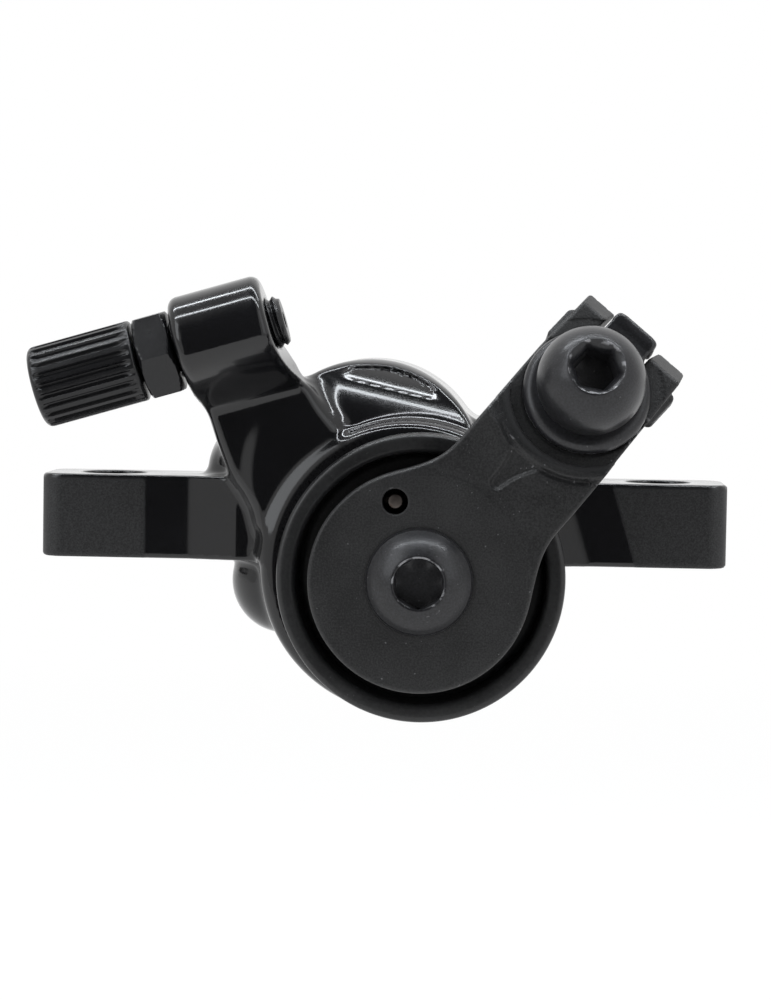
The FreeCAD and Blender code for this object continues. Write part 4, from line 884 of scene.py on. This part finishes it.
def locknut():
    g = adjuster
    along = cablePlace[1][0] * math.cos(g["nutTurned"]) + cablePlace[1][2] * math.sin(g["nutTurned"])
    place = placeAt(cablePlace[0], along, cablePlace[1][1])
    sides = 180
    angle = np.linspace(0, 2 * math.pi, sides, endpoint=False)
    hexagon = g["nutFlats"] * hexReach(angle)
    hole = np.full(sides, g["nutHole"])
    rows = [(hole, g["nutFront"] + 0.3), (hole + 0.35, g["nutFront"])]
    # the hexagon's corners are turned off at both ends
    for inward in (0, 0.15, 0.3, 0.45, 0.6):
        rows.append((np.minimum(hexagon, g["nutFlats"] - 0.2 + 1.75 * inward), g["nutFront"] + inward))
    rows.append((hexagon, g["nutFront"] + 0.75))
    rows += [(radius, g["nutFront"] + g["nutBack"] - height) for radius, height in rows[::-1]]
    points, faces = spun(np.stack([r for r, h in rows]), np.array([h for r, h in rows]), place, sides)
    tube = gridFaces(2, sides) % sides + np.array([0, len(rows) - 1, len(rows) - 1, 0]) * sides
    faces = np.concatenate([faces, tube])
    putMesh("barrelLocknut", points, faces, anodised, "locknut", ("barrel_locknut",),
            sharp=35)


def stud():
    # thread: the radius falls to its root and back once for each pitch of height and each turn of angle
    g = adjuster
    sides = 96
    angle = np.linspace(0, 2 * math.pi, sides, endpoint=False)
    heights = np.arange(g["studFront"] + 0.3, g["studBack"] - 0.29, g["pitch"] / 12)[:, None]
    phase = (heights / g["pitch"] + angle / (2 * math.pi)) % 1
    depth = np.clip(np.abs(2 * phase - 1) * 1.3 - 0.15, 0, 1)
    ends = np.minimum(heights - g["studFront"], g["studBack"] - heights)
    thread = np.minimum(g["studRadius"] - g["threadDepth"] * depth, g["studRadius"] - 0.55 + ends * 0.9)
    flat = np.ones((1, sides))
    bore, face = g["wireBore"], g["studRadius"] - 0.5
    radii = np.concatenate([bore * flat, face * flat, thread, face * flat, bore * flat])
    heights = np.concatenate([[g["studFront"]] * 2, heights[:, 0], [g["studBack"]] * 2])
    points, faces = spun(radii, heights, cablePlace, sides)
    rows = len(heights)
    seam = np.arange(sides)
    onward, end = (seam + 1) % sides, (rows - 1) * sides
    tube = np.stack([seam, end + seam, end + onward, onward], -1)
    putMesh("barrelStud", points, np.concatenate([faces, tube]), anodised, "barrel",
            ("barrel_stud",), sharp=60)


knob()
locknut()
stud()


# Return spring: a coil in the casting's pocket between two straight legs, one in the arm, one in the casting

spring = {"radius": 10.6, "wire": 1.0, "turns": 2.25, "coilFront": -15.0, "coilBack": -9.15,
          "legAngle": 107.7, "legRadius": 10.8, "legFront": -22.2, "legBack": -6.2, "legEase": 0.07,
          "bend": 1.6, "sides": 20}


def returnSpring():
    g = spring
    share = np.linspace(0, 1, 200)
    angle = math.radians(g["legAngle"]) - share * g["turns"] * 2 * math.pi
    ease = np.clip(np.minimum(share, 1 - share) / g["legEase"], 0, 1)
    radius = g["legRadius"] + (g["radius"] - g["legRadius"]) * ease * ease * (3 - 2 * ease)
    height = g["coilFront"] + (g["coilBack"] - g["coilFront"]) * share
    coil = np.stack([radius * np.cos(angle), height, radius * np.sin(angle)], -1)
    first, last = coil[0].copy(), coil[-1].copy()
    first[1], last[1] = g["legFront"], g["legBack"]
    path = softLine(np.concatenate([[first], coil, [last]]), g["bend"], 6)
    ahead = unit(np.gradient(path, axis=0))
    side = unit(np.cross(ahead, unit(path * (1, 0, 1))))
    up = np.cross(side, ahead)
    turn = np.linspace(0, 2 * math.pi, g["sides"], endpoint=False)[:, None]
    circle = up[:, None] * np.cos(turn) + side[:, None] * np.sin(turn)
    nose = ((0.001, 0), (0.8, 0), (0.95, 0.06), (1.0, 0.2))
    head = [path[:1] + circle[0] * r + ahead[:1] * s for r, s in nose]
    body = path[2:-1, None] + circle[2:-1] * g["wire"]
    tail = [path[-1:] + circle[-1] * r for r in (g["wire"], 0.001)]
    grid = np.concatenate([np.stack(head), body, np.stack(tail)])
    points = grid.reshape(-1, 3) + hubPlace[0]
    faces = gridFaces(len(grid), g["sides"])
    made = putMesh("returnSpring", points, faces, springSteel, None, ("return_spring",),
                   sharp=50)
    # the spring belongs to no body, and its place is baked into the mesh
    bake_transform(made)


returnSpring()
print("moving pieces made")


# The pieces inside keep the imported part's meshes and take their finishes

insideFinish = {
    "body_bolts": boltBlack, "outer_pad_plate": boltBlack, "inner_pad_plate": boltBlack,
    "shaft_bush": brassMetal, "ball_cage": brassMetal, "shaft_seal": rubberBlack,
    "adjuster_seal": rubberBlack, "outer_pad_lining": liningGrey, "inner_pad_lining": liningGrey,
    "thrust_washer": brightSteel, "guide_pins": brightSteel, "cam_shaft": brightSteel,
    "ramp_balls": brightSteel, "piston": brightSteel, "outer_pad_magnet": brightSteel,
    "inner_pad_magnet": brightSteel, "pad_carrier": brightSteel, "pad_adjuster_screw": brightSteel,
    "housing_seat": brightSteel,
}
for nodeName, finish in insideFinish.items():
    for held in bpy.data.objects[nodeName].material_slots:
        held.material = finish
print("inside finished")


# Stage: pale floor and backdrop, soft lamps above and beside, and the camera of the photograph

studio = {
    "floorDrop": -0.085, "floorReach": 6.0, "floorFront": -0.3, "floorWhite": 0.85, "floorWhiter": (0.1, 0.6),
    "floorMirrored": 0.85, "frontStrength": 0.045, "sideStrength": 0.75, "backStrength": 1.0,
    "sideFrom": (0.3, 0.42), "backFrom": (-0.05, 0.6), "paper": (0.9, 0.9, 0.9), "paperRough": 0.9,
    "lampColour": (0.92, 0.96, 1.0), "lampAim": (0, 0, 0.012),
    "cameraPlace": (16.81024, -399.13589, 31.76078), "cameraRight": (0.99894, 0.04285, 0.01655),
    "cameraUp": (-0.01905, 0.05855, 0.9981), "focalPixels": 2937.2, "frameHeight": 1000,
}
lamps = {
    "stripBack": {"place": (0.0, 0.1, 0.6), "size": (1.0, 0.03), "watts": 2.3},
    "stripFront": {"place": (0.0, -0.2, 0.58), "size": (1.0, 0.03), "watts": 2.3},
    "left": {"place": (-0.5, -0.38, 0.3), "size": (0.3, 0.5), "watts": 0.9},
    "right": {"place": (0.5, -0.35, 0.25), "size": (0.3, 0.5), "watts": 0.3},
}


def makeWorld():
    world = bpy.data.worlds.new("studio")
    bpy.context.scene.world = world
    world.use_nodes = True
    tree = world.node_tree
    sky = tree.nodes["Background"]
    direction = tree.nodes.new("ShaderNodeTexCoord").outputs["Generated"]
    parts = tree.nodes.new("ShaderNodeSeparateXYZ")
    tree.links.new(direction, parts.inputs["Vector"])
    front = studio["frontStrength"]
    sideways = combined(tree, "ABSOLUTE", parts.outputs["X"], 0)
    beside = rangeOf(tree, sideways, *studio["sideFrom"], front, studio["sideStrength"])
    behind = rangeOf(tree, parts.outputs["Y"], *studio["backFrom"], front, studio["backStrength"])
    cameraRay = tree.nodes.new("ShaderNodeLightPath").outputs["Is Camera Ray"]
    strength = combined(tree, "MAXIMUM", combined(tree, "MAXIMUM", beside, behind), cameraRay)
    sky.inputs["Color"].default_value = (1, 1, 1, 1)
    tree.links.new(strength, sky.inputs["Strength"])


def makeFloor():
    reach, drop, near = studio["floorReach"], studio["floorDrop"], studio["floorFront"]
    mesh = bpy.data.meshes.new("floor")
    corners = [(-reach, near, drop), (reach, near, drop), (reach, reach, drop), (-reach, reach, drop)]
    mesh.from_pydata(corners, [], [(0, 1, 2, 3)])
    floor = bpy.data.objects.new("floor", mesh)
    bpy.context.scene.collection.objects.link(floor)
    paper = bpy.data.materials.new("paper")
    paper.use_nodes = True
    tree = paper.node_tree
    matt = tree.nodes["Principled BSDF"]
    matt.inputs["Base Color"].default_value = (*studio["paper"], 1)
    matt.inputs["Roughness"].default_value = studio["paperRough"]
    glow = tree.nodes.new("ShaderNodeEmission")
    glow.inputs["Strength"].default_value = 1
    parts = tree.nodes.new("ShaderNodeSeparateXYZ")
    tree.links.new(tree.nodes.new("ShaderNodeTexCoord").outputs["Object"], parts.inputs["Vector"])
    white = rangeOf(tree, parts.outputs["Y"], *studio["floorWhiter"], studio["floorWhite"], 1.0)
    rays = tree.nodes.new("ShaderNodeLightPath").outputs
    mirrored = combined(tree, "MULTIPLY", rays["Is Glossy Ray"], studio["floorMirrored"])
    seen = combined(tree, "MAXIMUM", combined(tree, "MULTIPLY", rays["Is Camera Ray"], white), mirrored)
    blend = tree.nodes.new("ShaderNodeMixShader")
    tree.links.new(seen, blend.inputs["Fac"])
    tree.links.new(matt.outputs["BSDF"], blend.inputs[1])
    tree.links.new(glow.outputs["Emission"], blend.inputs[2])
    tree.links.new(blend.outputs["Shader"], tree.nodes["Material Output"].inputs["Surface"])
    mesh.materials.append(paper)


def makeLamps():
    for name, lamp in lamps.items():
        light = bpy.data.lights.new(name, "AREA")
        light.shape = "RECTANGLE"
        light.size, light.size_y = lamp["size"]
        light.energy = lamp["watts"]
        light.color = studio["lampColour"]
        holder = bpy.data.objects.new(name, light)
        holder.location = lamp["place"]
        holder.rotation_mode = "QUATERNION"
        aim = Vector(studio["lampAim"]) - Vector(lamp["place"])
        holder.rotation_quaternion = aim.to_track_quat("-Z", "Y")
        bpy.context.scene.collection.objects.link(holder)


def makeCamera():
    made = bpy.data.cameras.new("camera")
    made.sensor_fit, made.sensor_width = "AUTO", 36
    made.lens = studio["focalPixels"] / studio["frameHeight"] * made.sensor_width
    made.clip_start, made.clip_end = 0.01, 20
    holder = bpy.data.objects.new("camera", made)
    right, up = Vector(studio["cameraRight"]), Vector(studio["cameraUp"])
    turned = Matrix((right, up, right.cross(up))).transposed()
    holder.rotation_mode = "QUATERNION"
    holder.rotation_quaternion = turned.to_quaternion()
    holder.location = Vector(studio["cameraPlace"]) * mm
    bpy.context.scene.collection.objects.link(holder)
    bpy.context.scene.camera = holder


makeWorld()
makeFloor()
makeLamps()
makeCamera()
bpy.context.scene.view_settings.view_transform = "Standard"
print("stage made")
